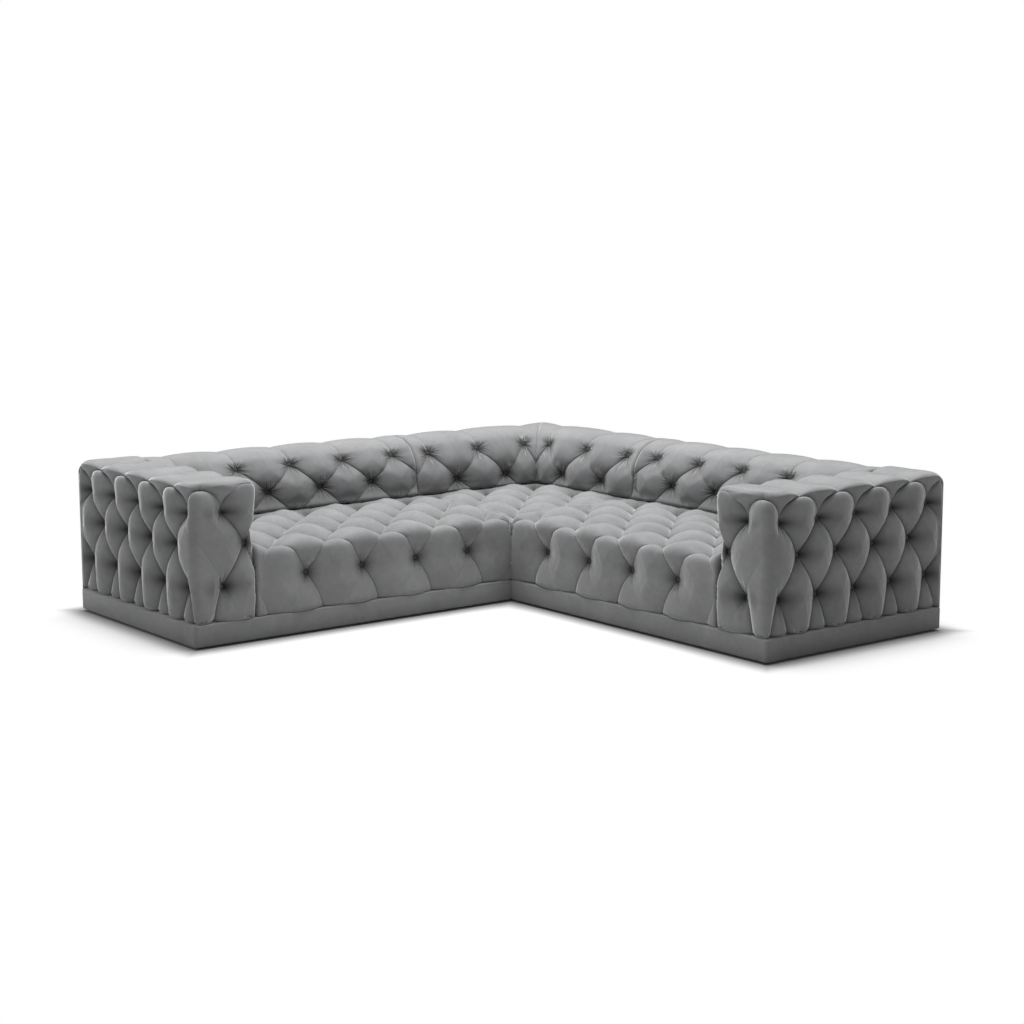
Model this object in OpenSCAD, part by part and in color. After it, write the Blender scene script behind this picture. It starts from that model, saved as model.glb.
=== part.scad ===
// Buttoned corner sofa in three modules: one corner module with an arm module on each side of it.
// Every module is a sprung timber seat on an upholstered plinth, with deep pads pulled in by buttons.
// An arm module is drawn with x along it from its joint, y from front to rear and z up.

/* [Plan] */
// Depth of every module, front to rear
module_depth = 1100; // [1050:10:1200]
// Length of an arm module, from its joint to the outside of its arm
wing_length = 1710; // [1500:5:2100]
// Width of an arm
arm_width = 310; // [280:5:360]
// Depth of the back where it is fullest, from the rear
back_depth = 340; // [320:5:380]
// Depth of the back behind the seat pad, from the rear
back_root = 300; // [280:5:310]
// How far the plinth stands out beyond the pads
plinth_proud = 4; // [2:1:8]

/* [Heights] */
// Height of the glides
glide_height = 9; // [6:1:14]
// Height of the top of the plinth
plinth_top = 107; // [95:1:120]
// Height of the springs' deck, on which the seat pads lie
deck_height = 330; // [310:5:340]
// Height of the seat at its front edge
seat_front_height = 425; // [415:5:440]
// Rise of the seat from its front edge to its middle
seat_dome = 15; // [8:1:24]
// Height of the fullest point of the backs and arms
crown_height = 715; // [700:5:760]
// Height of the straight rear edge
rear_edge_height = 690; // [680:5:698]

/* [Seat tufting] */
// Distance between buttons along a row of the seat
seat_pitch = 298; // [260:2:330]
// Distance between rows of the seat
seat_row = 157; // [145:1:165]
// First row of buttons, from the front
seat_first_row = 100; // [90:1:120]
// First button of the first row, from the joint
seat_first_button = 84; // [70:1:100]
// Height of the buttons on the front face
front_button_height = 270; // [255:1:285]
// Radius of the rolled front edge
seat_edge = 52; // [40:1:60]
// Depth of a crease of the seat
seat_crease = 12; // [8:1:16]
// Further depth of the seat at a button
seat_pit = 12; // [8:1:16]
// Depth of a crease of the front face
front_crease = 17; // [10:1:20]
// Further depth of the front face at a button
front_pit = 15; // [10:1:18]

/* [Back tufting] */
// Distance between buttons along a row of an arm module's back
back_pitch = 298; // [260:2:330]
// First upper button, from the joint
back_first_button = 165; // [150:1:180]
// Distance between buttons along a row of the corner's backs
corner_pitch = 318; // [300:2:330]
// First upper button of the corner's backs, from the joint
corner_first_button = 75; // [65:1:90]
// Height of the upper row of buttons
back_upper_height = 638; // [628:1:645]
// Height of the lower row of buttons
back_lower_height = 518; // [505:1:530]
// Depth of a crease of the back
back_crease = 24; // [14:1:30]
// Further depth of the back at a button
back_pit = 20; // [12:1:24]

/* [Arm tufting] */
// Distance between buttons along a row of the arm
arm_pitch = 229; // [215:1:240]
// Height of the arm's lowest row of buttons
arm_low_height = 242; // [235:1:250]
// Distance between rows of the arm
arm_row = 174; // [170:1:178]
// Depth of a crease of the arm
arm_crease = 22; // [14:1:26]
// Further depth of the arm at a button
arm_pit = 18; // [12:1:22]
// Radius of the arm's upright front edges
arm_edge = 30; // [22:1:40]

/* [Buttons] */
// Radius of a covered button
button_r = 12; // [9:0.5:14]
// Height of a covered button
button_height = 7; // [5:0.5:9]

/* [Timber, springs and webbing] */
// Thickness of the plinth's boards
plinth_board = 22; // [18:1:28]
// Width of the ledger inside the plinth, which carries the frames
ledger_width = 124; // [116:1:140]
// Thickness of the ledger
ledger_thick = 20; // [16:1:26]
// Thickness of the frames' timber
rail_thick = 25; // [20:1:30]
// Thickness of the pad on the front face
front_pad_thick = 60; // [50:1:70]
// Thickness of the pad round an arm
arm_pad_thick = 46; // [42:1:50]
// Thickness of the arm's boards
board_thick = 4; // [3:0.5:6]
// Thickness of the outside back
panel_thick = 14; // [10:1:18]
// Diameter of the springs' wire
wire = 4; // [3:0.5:5]
// Width of a spring
spring_width = 48; // [40:1:60]
// Distance between springs
spring_pitch = 125; // [110:5:140]
// Distance between a spring's runs, at most
spring_run = 62; // [50:1:80]
// Thickness of a spring clip's plate
clip_thick = 1.5; // [1:0.5:2]
// Width of a strap of the back's webbing
strap_width = 60; // [50:1:70]
// Distance between straps
strap_pitch = 115; // [100:5:130]
// Thickness of a strap
strap_thick = 2; // [1.5:0.5:3]
// Slope of the back's webbing, in degrees
back_rake = 9; // [6:1:11]

/* [Base and joints] */
// Radius of a glide
glide_r = 16; // [12:1:20]
// Thickness of the dust cover
cover_thick = 1; // [0.5:0.5:1.5]
// Distance of the dust cover from the plinth's outside
cover_inset = 14; // [10:1:18]
// Thickness of the plates that hook modules together
plate_thick = 3; // [2:0.5:3.5]
// Width of a hooking plate
plate_width = 50; // [40:2:60]
// Length of a hooking plate
plate_length = 70; // [60:2:80]
// Radius of the tongue on a hooking plate
tongue_r = 13; // [10:1:15]
// Radius of a screw's head
screw_r = 4; // [3:0.5:5]

/* [Hidden] */

// Colours of the finishes
velvet = [0.45, 0.45, 0.47];
timber = [0.76, 0.62, 0.42];
steel = [0.62, 0.63, 0.65];
elastic = [0.2, 0.2, 0.22];
black = [0.1, 0.1, 0.1];

// Clearances
slip = 0.3;
bore_slip = 0.4;

// Share of full roundness of a pillow: lower is fuller
pillow_share = 0.6;
// Share of a quarter pitch by which a pillow's column of points stays away from an end
end_share = 0.3;

// Places in an arm module
plan_half = (module_depth + wing_length) / 2;
inner_x = module_depth - plan_half;
body_front = plinth_proud;
seat_end = wing_length - arm_width;
seat_rear = module_depth - back_root;
back_front = module_depth - back_depth;
panel_rear = module_depth - plinth_proud / 2;
panel_front = panel_rear - panel_thick;
plinth_base = glide_height + cover_thick;

// Seat box
clip_height = wire + 2 * clip_thick;
rail_top = deck_height - clip_height;
rail_front = body_front + front_pad_thick;
web_foot = module_depth - back_root * 0.55;
rail_rear = web_foot;
spring_start = rail_front + rail_thick / 2;
spring_stop = rail_rear - rail_thick / 2;
brace_height = (rail_top - plinth_top) / 2;
block_leg = ledger_width * 0.7;
frame_side = ledger_width * 0.1;

// Back
back_cap = rear_edge_height - rail_thick;
web_lean = tan(back_rake);
function web_at(z) = web_foot + (z - deck_height) * web_lean;

// Arm
arm_outer = wing_length - plinth_proud;
arm_half = (arm_outer - seat_end) / 2;
arm_mid = seat_end + arm_half;
arm_cap = crown_height - arm_pad_thick;
arm_inside = arm_half - arm_pad_thick;

// Depth of the cover below its crown, at u pitches along and v rows across from a button
function wave(a) = pow(abs(sin(180 * a)), pillow_share);
function tuft(u, v, crease, pit) =
    let (a = wave(u + v / 2), b = wave(u - v / 2))
    crease * (1 - a * b) + pit * (1 - a) * (1 - b);

// A profile is a list of rows [across, height, v, crease, pit], from its foot at the front to the rear
function row_depth(row, u) = tuft(u, row[2], row[3], row[4]);
function outward(profile, j) =
    let (low = profile[max(j - 1, 0)], high = profile[min(j + 1, len(profile) - 1)])
    let (run = [high[0] - low[0], high[1] - low[1]])
    [-run[1], run[0]] / norm(run);
function pressed(profile, j, u, less = 0) =
    let (row = profile[j], out = outward(profile, j), depth = row_depth(row, u) - less)
    [row[0] - out[0] * depth, row[1] - out[1] * depth];

// Shares of the slope of the facets round a button by which it stands off: on the seat, on the corner's
// seat, on the arm, and on the lower and upper rows of the back
ease = 1.1;
corner_ease = 1.24;
arm_ease = 1.05;
back_ease = [1.16, 0.94];

// How far a button in row j stands off the bottom of its pit, so that its rim clears the cover
function fall(profile, j, k, u) =
    let (a = profile[j], b = profile[k])
    (row_depth(a, u) - row_depth(b, u)) / norm([a[0] - b[0], a[1] - b[1]]);
function side_slope(row, u, x, x2, pitch) =
    (row_depth(row, u) - row_depth(row, u + (x2 - x) / pitch)) / abs(x2 - x);
function button_lift(profile, j, u, x, pitch, start, stop) =
    let (row = profile[j])
    let (before = side_slope(row, u, x, max(x - pitch / 4, start), pitch))
    let (after = side_slope(row, u, x, min(x + pitch / 4, stop), pitch))
    button_r * max(before, after, fall(profile, j, j - 1, u), fall(profile, j, j + 1, u));

// Places along a row: its two ends, and each quarter pitch between them that is clear of the ends
function places(first, pitch, start, stop) =
    let (step = pitch / 4, low = ceil((start + step * end_share - first) / step))
    let (high = floor((stop - step * end_share - first) / step))
    concat([start], [for (k = [low:high]) first + k * step], [stop]);
function in_pitches(list, first, pitch) = [for (x = list) (x - first) / pitch];

// Faces of one cell of a grid of n points a column, split along a crease when even
function cell(i, j, n, even) =
    let (a = i * n + j, b = a + n, d = i * n + (j + 1) % n, c = d + n)
    even ? [[a, d, c], [a, c, b]] : [[a, d, b], [d, c, b]];
function home(points, i) = [for (j = [0:i]) if (norm(points[j] - points[i]) < slip) j][0];
function homed(homes, face) =
    let (f = [for (p = face) homes[p]], count = len(f))
    [for (i = [0:count - 1]) if (f[i] != f[(i + count - 1) % count]) f[i]];

// Flat end faces of m columns of n points. Each starts at a point that sees its whole outline.
function flat_ends(m, n, start) = [
    [for (k = [0:n - 1]) (start - k + n) % n],
    [for (k = [0:n - 1]) (m - 1) * n + (start + k) % n]];

// Closed form through columns of points. A column holds its lead points, then its tufted rows.
// Points that fall together are used as one. us and vs place the columns and the rows in the tufting, so that the faces fold along its creases.
module quilt(columns, us, vs, lead, wrap, ends) {
    n = len(columns[0]);
    m = len(columns);
    points = [for (column = columns) each column];
    homes = [for (i = [0:len(points) - 1]) home(points, i)];
    sides = [
        for (i = [0:m - 2], j = [0:(wrap ? n - 1 : n - 2)])
            let (k = j - lead, tufted = k >= 0 && j < n - 1)
            let (crossing = tufted ? floor(2 * (us[i] + us[i + 1])) + floor(vs[k] + vs[k + 1]) : 0)
            for (face = cell(i, j, n, crossing % 2 == 0))
                homed(homes, face)
    ];
    faces = [for (face = concat(sides, [for (end = ends) homed(homes, end)])) if (len(face) > 2) face];
    polyhedron(points, faces, convexity = 8);
}

// Straight pad along x: a profile pressed in by its buttons, closed by the points of its back
module straight_pad(profile, closing, seen_from, first, pitch, start, stop) {
    xs = places(first, pitch, start, stop);
    us = in_pitches(xs, first, pitch);
    columns = [
        for (i = [0:len(xs) - 1])
            concat(
                [for (p = closing) [xs[i], p[0], p[1]]],
                [for (j = [0:len(profile) - 1]) let (p = pressed(profile, j, us[i])) [xs[i], p[0], p[1]]])
    ];
    ends = flat_ends(len(columns), len(columns[0]), seen_from);
    quilt(columns, us, [for (row = profile) row[2]], len(closing), true, ends);
}

// Profile of the seat: it climbs the front face, rolls over the edge and runs back to the back pad
seat_flat = seat_first_row - seat_edge;
seat_bend = seat_edge * PI / 2;
seat_wall = seat_front_height - seat_edge;
front_run = seat_flat + seat_bend + seat_wall - front_button_height;
function on_face(z) = -(seat_flat + seat_bend + seat_wall - z) / front_run;
function face_row(z) = [body_front, z, on_face(z), front_crease, front_pit];
function edge_row(turn) = [
    body_front + seat_edge * (1 - cos(turn)),
    seat_wall + seat_edge * sin(turn),
    -(seat_flat + seat_bend * (1 - turn / 90)) / front_run,
    front_crease, seat_pit];
function dome_at(y) = sin(180 * (y - seat_first_row) / (seat_rear - seat_first_row));
function top_row(y) = [
    y, seat_front_height + seat_dome * max(0, dome_at(y)), (y - seat_first_row) / seat_row,
    seat_crease, seat_pit];
top_rows = floor((seat_rear - seat_first_row) / seat_row);
front_profile = [
    face_row(plinth_top),
    [body_front, front_button_height - front_run / 2, -1.5, front_crease, front_pit],
    face_row(front_button_height),
    face_row(deck_height)
];
seat_profile = concat(
    [face_row(deck_height)],
    [for (turn = [0, 45, 90]) edge_row(turn)],
    [for (k = [0:2 * top_rows]) top_row(seat_first_row + k * seat_row / 2)],
    [top_row(seat_rear - slip)]);

// Profile of the back: shares of its depth and of the height of each stretch, with the crease's share
below_shares = [[0.05, 0.2, 0.5], [0.012, 0.6, 1]];
above_shares = [[0.235, 0.57, 0.8], [0.37, 0.87, 0.6], [0.55, 1, 0.5], [0.76, 0.95, 0.5], [0.9, 0.8, 0.5]];
back_mid_share = 0.035;
back_upper_share = 0.12;
function back_row(depth_share, z, v, crease, pit) =
    [back_front + depth_share * back_depth, z, v, crease, pit];
back_profile = concat(
    [[seat_rear, deck_height, 0, 0, 0], [seat_rear, seat_front_height, 0, 0, 0]],
    [for (s = below_shares)
        back_row(s[0], seat_front_height + s[1] * (back_lower_height - seat_front_height), 0,
            s[2] * back_crease, 0)],
    [back_row(0, back_lower_height, 0, back_crease, back_pit)],
    [back_row(back_mid_share, (back_lower_height + back_upper_height) / 2, 0.5, back_crease, back_pit)],
    [back_row(back_upper_share, back_upper_height, 1, back_crease, back_pit)],
    [for (s = above_shares)
        back_row(s[0], back_upper_height + s[1] * (crown_height - back_upper_height), 1,
            s[2] * back_crease, 0)],
    [[panel_front, rear_edge_height, 1, 0, 0]]);
back_closing = [[panel_front, back_cap], [web_at(back_cap), back_cap], [web_foot, deck_height]];
back_cap_point = 1;

// Bar along x with a section drawn in y and z
module bar_x(start, stop, section) {
    translate([start, 0, 0]) rotate([90, 0, 90]) linear_extrude(stop - start) polygon(section);
}
module block(low, high) {
    translate(low) cube([high[0] - low[0], high[1] - low[1], high[2] - low[2]]);
}

// Where each module stands. The left module is the right one's mirror image, and the corner module
// is drawn with x running from its joint with the right module to the outer corner.
module right_side() {
    translate([inner_x, -inner_x, 0]) children();
}
module left_side() {
    translate([inner_x, -inner_x, 0]) mirror([1, 1, 0]) children();
}
module corner_side() {
    translate([inner_x, -inner_x, 0]) mirror([1, 0, 0]) children();
}
module swapped() {
    mirror([1, -1, 0]) children();
}

// Plinth: boards wrapped in the cover, with a ledger that carries the frames, and a block over each glide
plinth_corner = plinth_board / 2;
glide_inset = 2.5 * glide_r;
glide_block = 1.5 * glide_r;
module plinth_outline(length, near, both) {
    skip = both ? plinth_corner : 0;
    translate([slip, near]) square([length - slip - plinth_corner, module_depth - near]);
    translate([slip, near + skip]) square([length - slip, module_depth - near - plinth_corner - skip]);
    translate([length - plinth_corner, module_depth - plinth_corner]) circle(plinth_corner, $fn = 48);
    if (both) translate([length - plinth_corner, plinth_corner]) circle(plinth_corner, $fn = 48);
}
module plinth_ring(length, near, both, low, high, wall) {
    translate([0, 0, low]) linear_extrude(high - low) difference() {
        plinth_outline(length, near, both);
        translate([slip + wall, near + wall])
            square([length - slip - 2 * wall, module_depth - near - 2 * wall]);
    }
}
module plinth(length, near, both, glide_xs) {
    color(velvet) {
        plinth_ring(length, near, both, plinth_base, plinth_top, plinth_board);
        plinth_ring(length, near, both, plinth_top - ledger_thick, plinth_top, ledger_width);
        for (x = glide_xs, y = glide_ys)
            block([x - glide_block, y - glide_block, plinth_base],
                [x + glide_block, y + glide_block, plinth_top - ledger_thick / 2]);
    }
}

// Glides: turned feet, one near each corner of the base and one in the middle of a long side
glide_chamfer_share = 0.15;
module glide() {
    chamfer = glide_r * glide_chamfer_share;
    rotate_extrude($fn = 48)
        polygon([[0, 0], [glide_r - chamfer, 0], [glide_r, chamfer], [glide_r, glide_height], [0, glide_height]]);
}
glide_ys = [glide_inset, module_depth - glide_inset];
wing_glide_xs = [glide_inset, wing_length / 2, wing_length - glide_inset];
corner_glide_xs = glide_ys;
module glides(xs) {
    color(black) for (x = xs, y = glide_ys) translate([x, y, 0]) glide();
}

// Dust cover stapled under the plinth
module dust_cover(length) {
    color(black) block(
        [cover_inset, cover_inset, glide_height],
        [length - cover_inset, module_depth - cover_inset, plinth_base]);
}

// Seat frame: rails, a brace and corner blocks
module corner_block(x, y, turn) {
    translate([x, y, plinth_top]) rotate([0, 0, turn]) linear_extrude(brace_height)
        polygon([[0, 0], [block_leg, 0], [0, block_leg]]);
}
module seat_frame(x0, y0, x1, y1) {
    color(timber) {
        block([x0, y0, plinth_top], [x1, y0 + rail_thick, rail_top]);
        block([x0, y1 - rail_thick, plinth_top], [x1, y1, rail_top]);
        block([x0, y0, plinth_top], [x0 + rail_thick, y1, rail_top]);
        block([x1 - rail_thick, y0, plinth_top], [x1, y1, rail_top]);
        block([(x0 + x1 - rail_thick) / 2, y0, plinth_top],
            [(x0 + x1 + rail_thick) / 2, y1, plinth_top + brace_height]);
        corner_block(x0 + rail_thick, y0 + rail_thick, 0);
        corner_block(x1 - rail_thick, y0 + rail_thick, 90);
        corner_block(x1 - rail_thick, y1 - rail_thick, 180);
        corner_block(x0 + rail_thick, y1 - rail_thick, 270);
    }
}

// Springs: one unbroken zigzag of wire each, run from rail to rail under a clip at either end
spring_half = (spring_width - wire) / 2;
spring_bend_share = 0.4;
spring_bend = spring_half * spring_bend_share;
clip_width = spring_half * 0.85;
function unit(v) = v / norm(v);
function mitred(line, i, side) =
    let (p = max(i, 1), q = min(i + 1, len(line) - 1))
    let (a = unit(line[p] - line[p - 1]), b = unit(line[q] - line[q - 1]))
    line[i] + side * [-(a[1] + b[1]), a[0] + b[0]] / (1 + a * b);
function spring_line(runs, step) = [
    for (k = [0:runs - 1])
        let (side = k % 2 == 0 ? spring_half : -spring_half, bend = k % 2 == 0 ? spring_bend : -spring_bend)
        each concat(
            [[bend - side, k * step], [side - bend, k * step]],
            k < runs - 1 ? [[side, k * step + spring_bend], [side, (k + 1) * step - spring_bend]] : [])
];
module spring(start, stop) {
    runs = 1 + ceil((stop - start) / spring_run);
    line = spring_line(runs, (stop - start) / (runs - 1));
    last = len(line) - 1;
    translate([0, start, rail_top + clip_thick]) linear_extrude(wire) polygon(concat(
        [for (i = [0:last]) mitred(line, i, wire / 2)],
        [for (i = [last:-1:0]) mitred(line, i, -wire / 2)]));
}
function spring_places(x0, x1) =
    let (count = floor((x1 - x0 - spring_width) / spring_pitch), spare = (x1 - x0 - count * spring_pitch) / 2)
    [for (k = [0:count]) x0 + spare + k * spring_pitch];
module springs(x0, x1, start, stop) {
    color(steel) for (x = spring_places(x0, x1)) translate([x, 0, 0]) spring(start, stop);
}

// Spring clips: bent plates that hold a spring's end run down on its rail
module clip() {
    back = wire / 2 + clip_thick;
    lip = rail_thick / 3;
    translate([-clip_width / 2, 0, rail_top]) rotate([90, 0, 90]) linear_extrude(clip_width)
        polygon([[-back, 0], [lip, 0], [lip, clip_thick], [-wire / 2, clip_thick],
            [-wire / 2, clip_thick + wire], [lip, clip_thick + wire], [lip, clip_height], [-back, clip_height]]);
}
module spring_clips(x0, x1, start, stop) {
    color(steel) for (x = spring_places(x0, x1)) {
        translate([x, start, 0]) clip();
        translate([x, stop, 0]) mirror([0, 1, 0]) clip();
    }
}

// Covered button, with its back on z = 0
button_rim_share = 0.35;
module button() {
    rim = button_height * button_rim_share;
    rotate_extrude($fn = 48) polygon(concat(
        [[0, 0], [button_r, 0]],
        [for (a = [0:18:90]) [button_r * cos(a), rim + (button_height - rim) * sin(a)]]));
}
// Buttons along row j of a profile, every pitch from first
module button_row(profile, j, first, pitch, start, stop, share) {
    u = (profile[j][2] % 2) / 2;
    out = outward(profile, j);
    count = floor((stop - button_r - first) / pitch);
    for (k = [0:count]) let (x = first + k * pitch)
        if (x > start + button_r)
            let (p = pressed(profile, j, u, slip + share * button_lift(profile, j, u, x, pitch, start, stop)))
            translate([x, p[0], p[1]]) rotate([atan2(-out[0], out[1]), 0, 0]) button();
}
function button_rows(profile, clear) = [
    for (j = [1:len(profile) - 2])
        let (row = profile[j])
        if (row[4] > 0 && row[2] == round(row[2]) && row[0] < clear) j
];

// Seat and front pads of an arm module, and their buttons
module wing_front_pad() {
    color(velvet) straight_pad(front_profile, [[rail_front, deck_height], [rail_front, plinth_top]], 0,
        seat_first_button, seat_pitch, slip, seat_end - slip);
}
module wing_seat_pad() {
    color(velvet) straight_pad(seat_profile, [[seat_rear - slip, deck_height]], 0,
        seat_first_button, seat_pitch, slip, seat_end - slip);
}
module wing_seat_buttons() {
    color(velvet) {
        for (j = button_rows(seat_profile, seat_rear - 2 * button_r))
            button_row(seat_profile, j, seat_first_button + abs(seat_profile[j][2] % 2) * seat_pitch / 2,
                seat_pitch, slip, seat_end, ease);
        for (j = button_rows(front_profile, seat_rear))
            button_row(front_profile, j, seat_first_button + seat_pitch / 2, seat_pitch, slip, seat_end, ease);
    }
}

// Back frame: posts cut from ply, with a rail along their tops and one at the deck
rail_height = 1.8 * rail_thick;
rail_depth = 3 * rail_thick;
post_section = [
    [web_foot, plinth_top], [panel_front, plinth_top], [panel_front, back_cap],
    [web_at(back_cap) + strap_thick, back_cap], [web_foot + strap_thick, deck_height],
    [web_foot, deck_height]];
function back_rail(low, high) = [
    [web_at(low) + strap_thick, low], [web_at(low) + strap_thick + rail_depth, low],
    [web_at(low) + strap_thick + rail_depth, high], [web_at(high) + strap_thick, high]];
module back_posts(start, stop, posts) {
    color(timber) for (k = [0:posts - 1])
        let (x = start + k * (stop - start - rail_thick) / (posts - 1))
        bar_x(x, x + rail_thick, post_section);
}
module back_rails(start, stop) {
    color(timber) {
        bar_x(start, stop, back_rail(back_cap - rail_height, back_cap));
        bar_x(start, stop, back_rail(deck_height, deck_height + rail_height));
    }
}
strap_section = [
    [web_foot, deck_height], [web_foot + strap_thick, deck_height],
    [web_at(back_cap) + strap_thick, back_cap], [web_at(back_cap), back_cap]];
module back_webbing(start, stop) {
    count = floor((stop - start - strap_width) / strap_pitch);
    spare = (stop - start - strap_width - count * strap_pitch) / 2;
    color(elastic) for (k = [0:count])
        let (x = start + spare + k * strap_pitch)
        bar_x(x, x + strap_width, strap_section);
}

// Back pad of an arm module and its buttons
module wing_back_pad() {
    color(velvet) straight_pad(back_profile, back_closing, back_cap_point,
        back_first_button + back_pitch / 2, back_pitch, slip, seat_end - slip);
}
module back_buttons(first, pitch, stop) {
    color(velvet) for (j = button_rows(back_profile, module_depth))
        let (v = back_profile[j][2])
        button_row(back_profile, j, first + (1 - v) * pitch / 2, pitch, slip, stop, back_ease[v]);
}

// Outside back: an upholstered board with a rounded rear edge
panel_round = panel_thick * 0.6;
panel_section = concat(
    [[panel_front, rear_edge_height], [panel_front, plinth_top], [panel_rear, plinth_top]],
    [for (a = [0:15:90]) [
        panel_rear - panel_round * (1 - cos(a)),
        rear_edge_height - panel_round * (1 - sin(a))]]);
module outside_back(start, stop) {
    color(velvet) bar_x(start, stop, panel_section);
}

// Arm: its cover runs round the plan from the rear of one side to the rear of the other
arm_flat = arm_half - arm_edge;
arm_bend = arm_edge * PI / 2;
arm_reach = arm_flat + arm_bend + panel_front - body_front - arm_edge;
function arm_path(w) =
    let (a = abs(w), s = sign(w), turn = (a - arm_flat) / arm_bend * 90)
    a <= arm_flat ? [w, 0, 0, -1]
    : a <= arm_flat + arm_bend ?
        [s * (arm_flat + arm_edge * sin(turn)), arm_edge * (1 - cos(turn)), s * sin(turn), -cos(turn)]
    : [s * arm_half, arm_edge + a - arm_flat - arm_bend, s, 0];
arm_top = arm_low_height + 2 * arm_row;
// Rows over the top of the arm: shares of the way to its spine, of the height and of the next row,
// the crease's share, and the tilt of the cover in degrees
arm_top_shares = [[0, 0.5, 0.35, 1, 0], [0.05, 0.82, 0.65, 0.9, 30], [0.24, 0.96, 1, 0.7, 70], [1, 1, 1, 0.5, 90]];
// A row of the arm is [share of the way to the spine, height, v, crease, pit, tilt]
arm_rows = concat(
    [[0, plinth_top, (plinth_top - arm_low_height) / arm_row, arm_crease, arm_pit, 0]],
    [for (v = [-0.5:0.5:2]) [0, arm_low_height + v * arm_row, v, arm_crease, arm_pit, 0]],
    [for (s = arm_top_shares)
        [s[0], arm_top + s[1] * (crown_height - arm_top), 2 + s[2], s[3] * arm_crease, 0, s[4]]]);

// The cover is pressed in all round, but lies flat where the seat and back pads meet the arm
function arm_tufted(w, row) =
    let (y = arm_path(w)[1])
    w >= -arm_flat - arm_bend || row[0] > 0 ? 1
    : row[1] > seat_front_height + seat_dome && y < back_front - body_front ? 1 : 0;
function arm_point(w, row, less = 0) =
    let (path = arm_path(w), ends = row[0] == 1, capped = ends && path[1] <= arm_half)
    let (depth = capped ? 0 : arm_tufted(w, row) * tuft(w / arm_pitch, row[2], row[3], row[4]) - less)
    let (x = ends ? 0 : path[0] * (1 - row[0]))
    let (y = ends ? max(path[1], arm_half) : path[1] + (max(path[1], arm_half) - path[1]) * row[0])
    [arm_mid + x - path[2] * cos(row[5]) * depth,
        body_front + y - path[3] * cos(row[5]) * depth,
        row[1] - sin(row[5]) * depth];
function arm_lining(w, z) =
    let (path = arm_path(w), x = min(arm_inside, max(-arm_inside, path[0])))
    [arm_mid + x, body_front + max(path[1], arm_pad_thick), z];
module wing_arm_pad() {
    step = arm_pitch / 4;
    high = floor((arm_reach - step * end_share) / step);
    ws = concat([-arm_reach], [for (k = [-high:high]) k * step], [arm_reach]);
    columns = [
        for (w = ws) concat(
            [arm_lining(w, arm_cap), arm_lining(w, plinth_top)],
            [for (row = arm_rows) arm_point(w, row)])
    ];
    n = len(columns[0]);
    m = len(ws);
    far = (m - 1) * n;
    spine = n - 1;
    // The rear is two legs, each seen from the lining's top, and the triangle between them
    rear = [
        [for (j = [0:spine]) far + j],
        [for (j = [0:spine]) (n - j) % n],
        [far, far + spine, 0]];
    // The lining's ceiling is strips from side to side, and a fan along the front
    side = 1 + high - ceil((arm_flat + arm_bend + arm_pad_thick - arm_edge) / step);
    ceiling = concat(
        [for (i = [0:side - 1]) n * [i, i + 1, m - 2 - i, m - 1 - i]],
        [[for (i = [side:m - 1 - side]) i * n]]);
    us = in_pitches(ws, 0, arm_pitch);
    color(velvet) quilt(columns, us, [for (row = arm_rows) row[2]], 2, false, concat(rear, ceiling));
}
// A button of the arm, w round its cover in row j
module arm_button(w, j) {
    row = arm_rows[j];
    path = arm_path(w);
    side = (tuft(0, 0, row[3], row[4]) - tuft(1 / 4, 0, row[3], row[4])) / (arm_pitch / 4);
    up = (tuft(0, 0, row[3], row[4]) - tuft(0, 0.5, row[3], row[4])) / (arm_row / 2);
    translate(arm_point(w, row, slip + arm_ease * button_r * max(side, up)))
        rotate([90, 0, atan2(path[2], -path[3])]) button();
}
module wing_arm_buttons() {
    count = floor((arm_reach - 2 * button_r) / arm_pitch);
    color(velvet) for (j = [2, 4, 6], k = [-count:count]) {
        w = (k + (j == 4 ? 1 / 2 : 0)) * arm_pitch;
        edge = w > 0 && w < arm_flat && j == 4;
        if (!edge && abs(w) < arm_reach - 2 * button_r && arm_tufted(w - 2 * button_r, arm_rows[j]) == 1)
            arm_button(w, j);
    }
}

// Arm frame: end panels, long rails and uprights, faced with boards that the padding is drawn against
arm_box_low = seat_end + arm_pad_thick + board_thick;
arm_box_high = arm_outer - arm_pad_thick - board_thick;
arm_box_front = body_front + arm_pad_thick;
arm_box_top = arm_cap - board_thick;
module wing_arm_frame() {
    long = panel_front - arm_box_front;
    color(timber) {
        for (y = [arm_box_front, panel_front - rail_thick])
            block([arm_box_low, y, plinth_top], [arm_box_high, y + rail_thick, arm_box_top]);
        for (x = [arm_box_low, arm_box_high - rail_thick], z = [plinth_top, arm_box_top - rail_height])
            block([x, arm_box_front, z], [x + rail_thick, panel_front, z + rail_height]);
        for (x = [arm_box_low, arm_box_high - rail_thick], share = [1 / 3, 2 / 3])
            block([x, arm_box_front + share * long, plinth_top],
                [x + rail_thick, arm_box_front + share * long + rail_height, arm_box_top]);
    }
}
module wing_arm_boards() {
    color(timber) {
        block([arm_box_low - board_thick, arm_box_front, plinth_top], [arm_box_low, panel_front, arm_cap]);
        block([arm_box_high, arm_box_front, plinth_top], [arm_box_high + board_thick, panel_front, arm_cap]);
        block([arm_box_low, arm_box_front, arm_box_top], [arm_box_high, panel_front, arm_cap]);
    }
}

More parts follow.
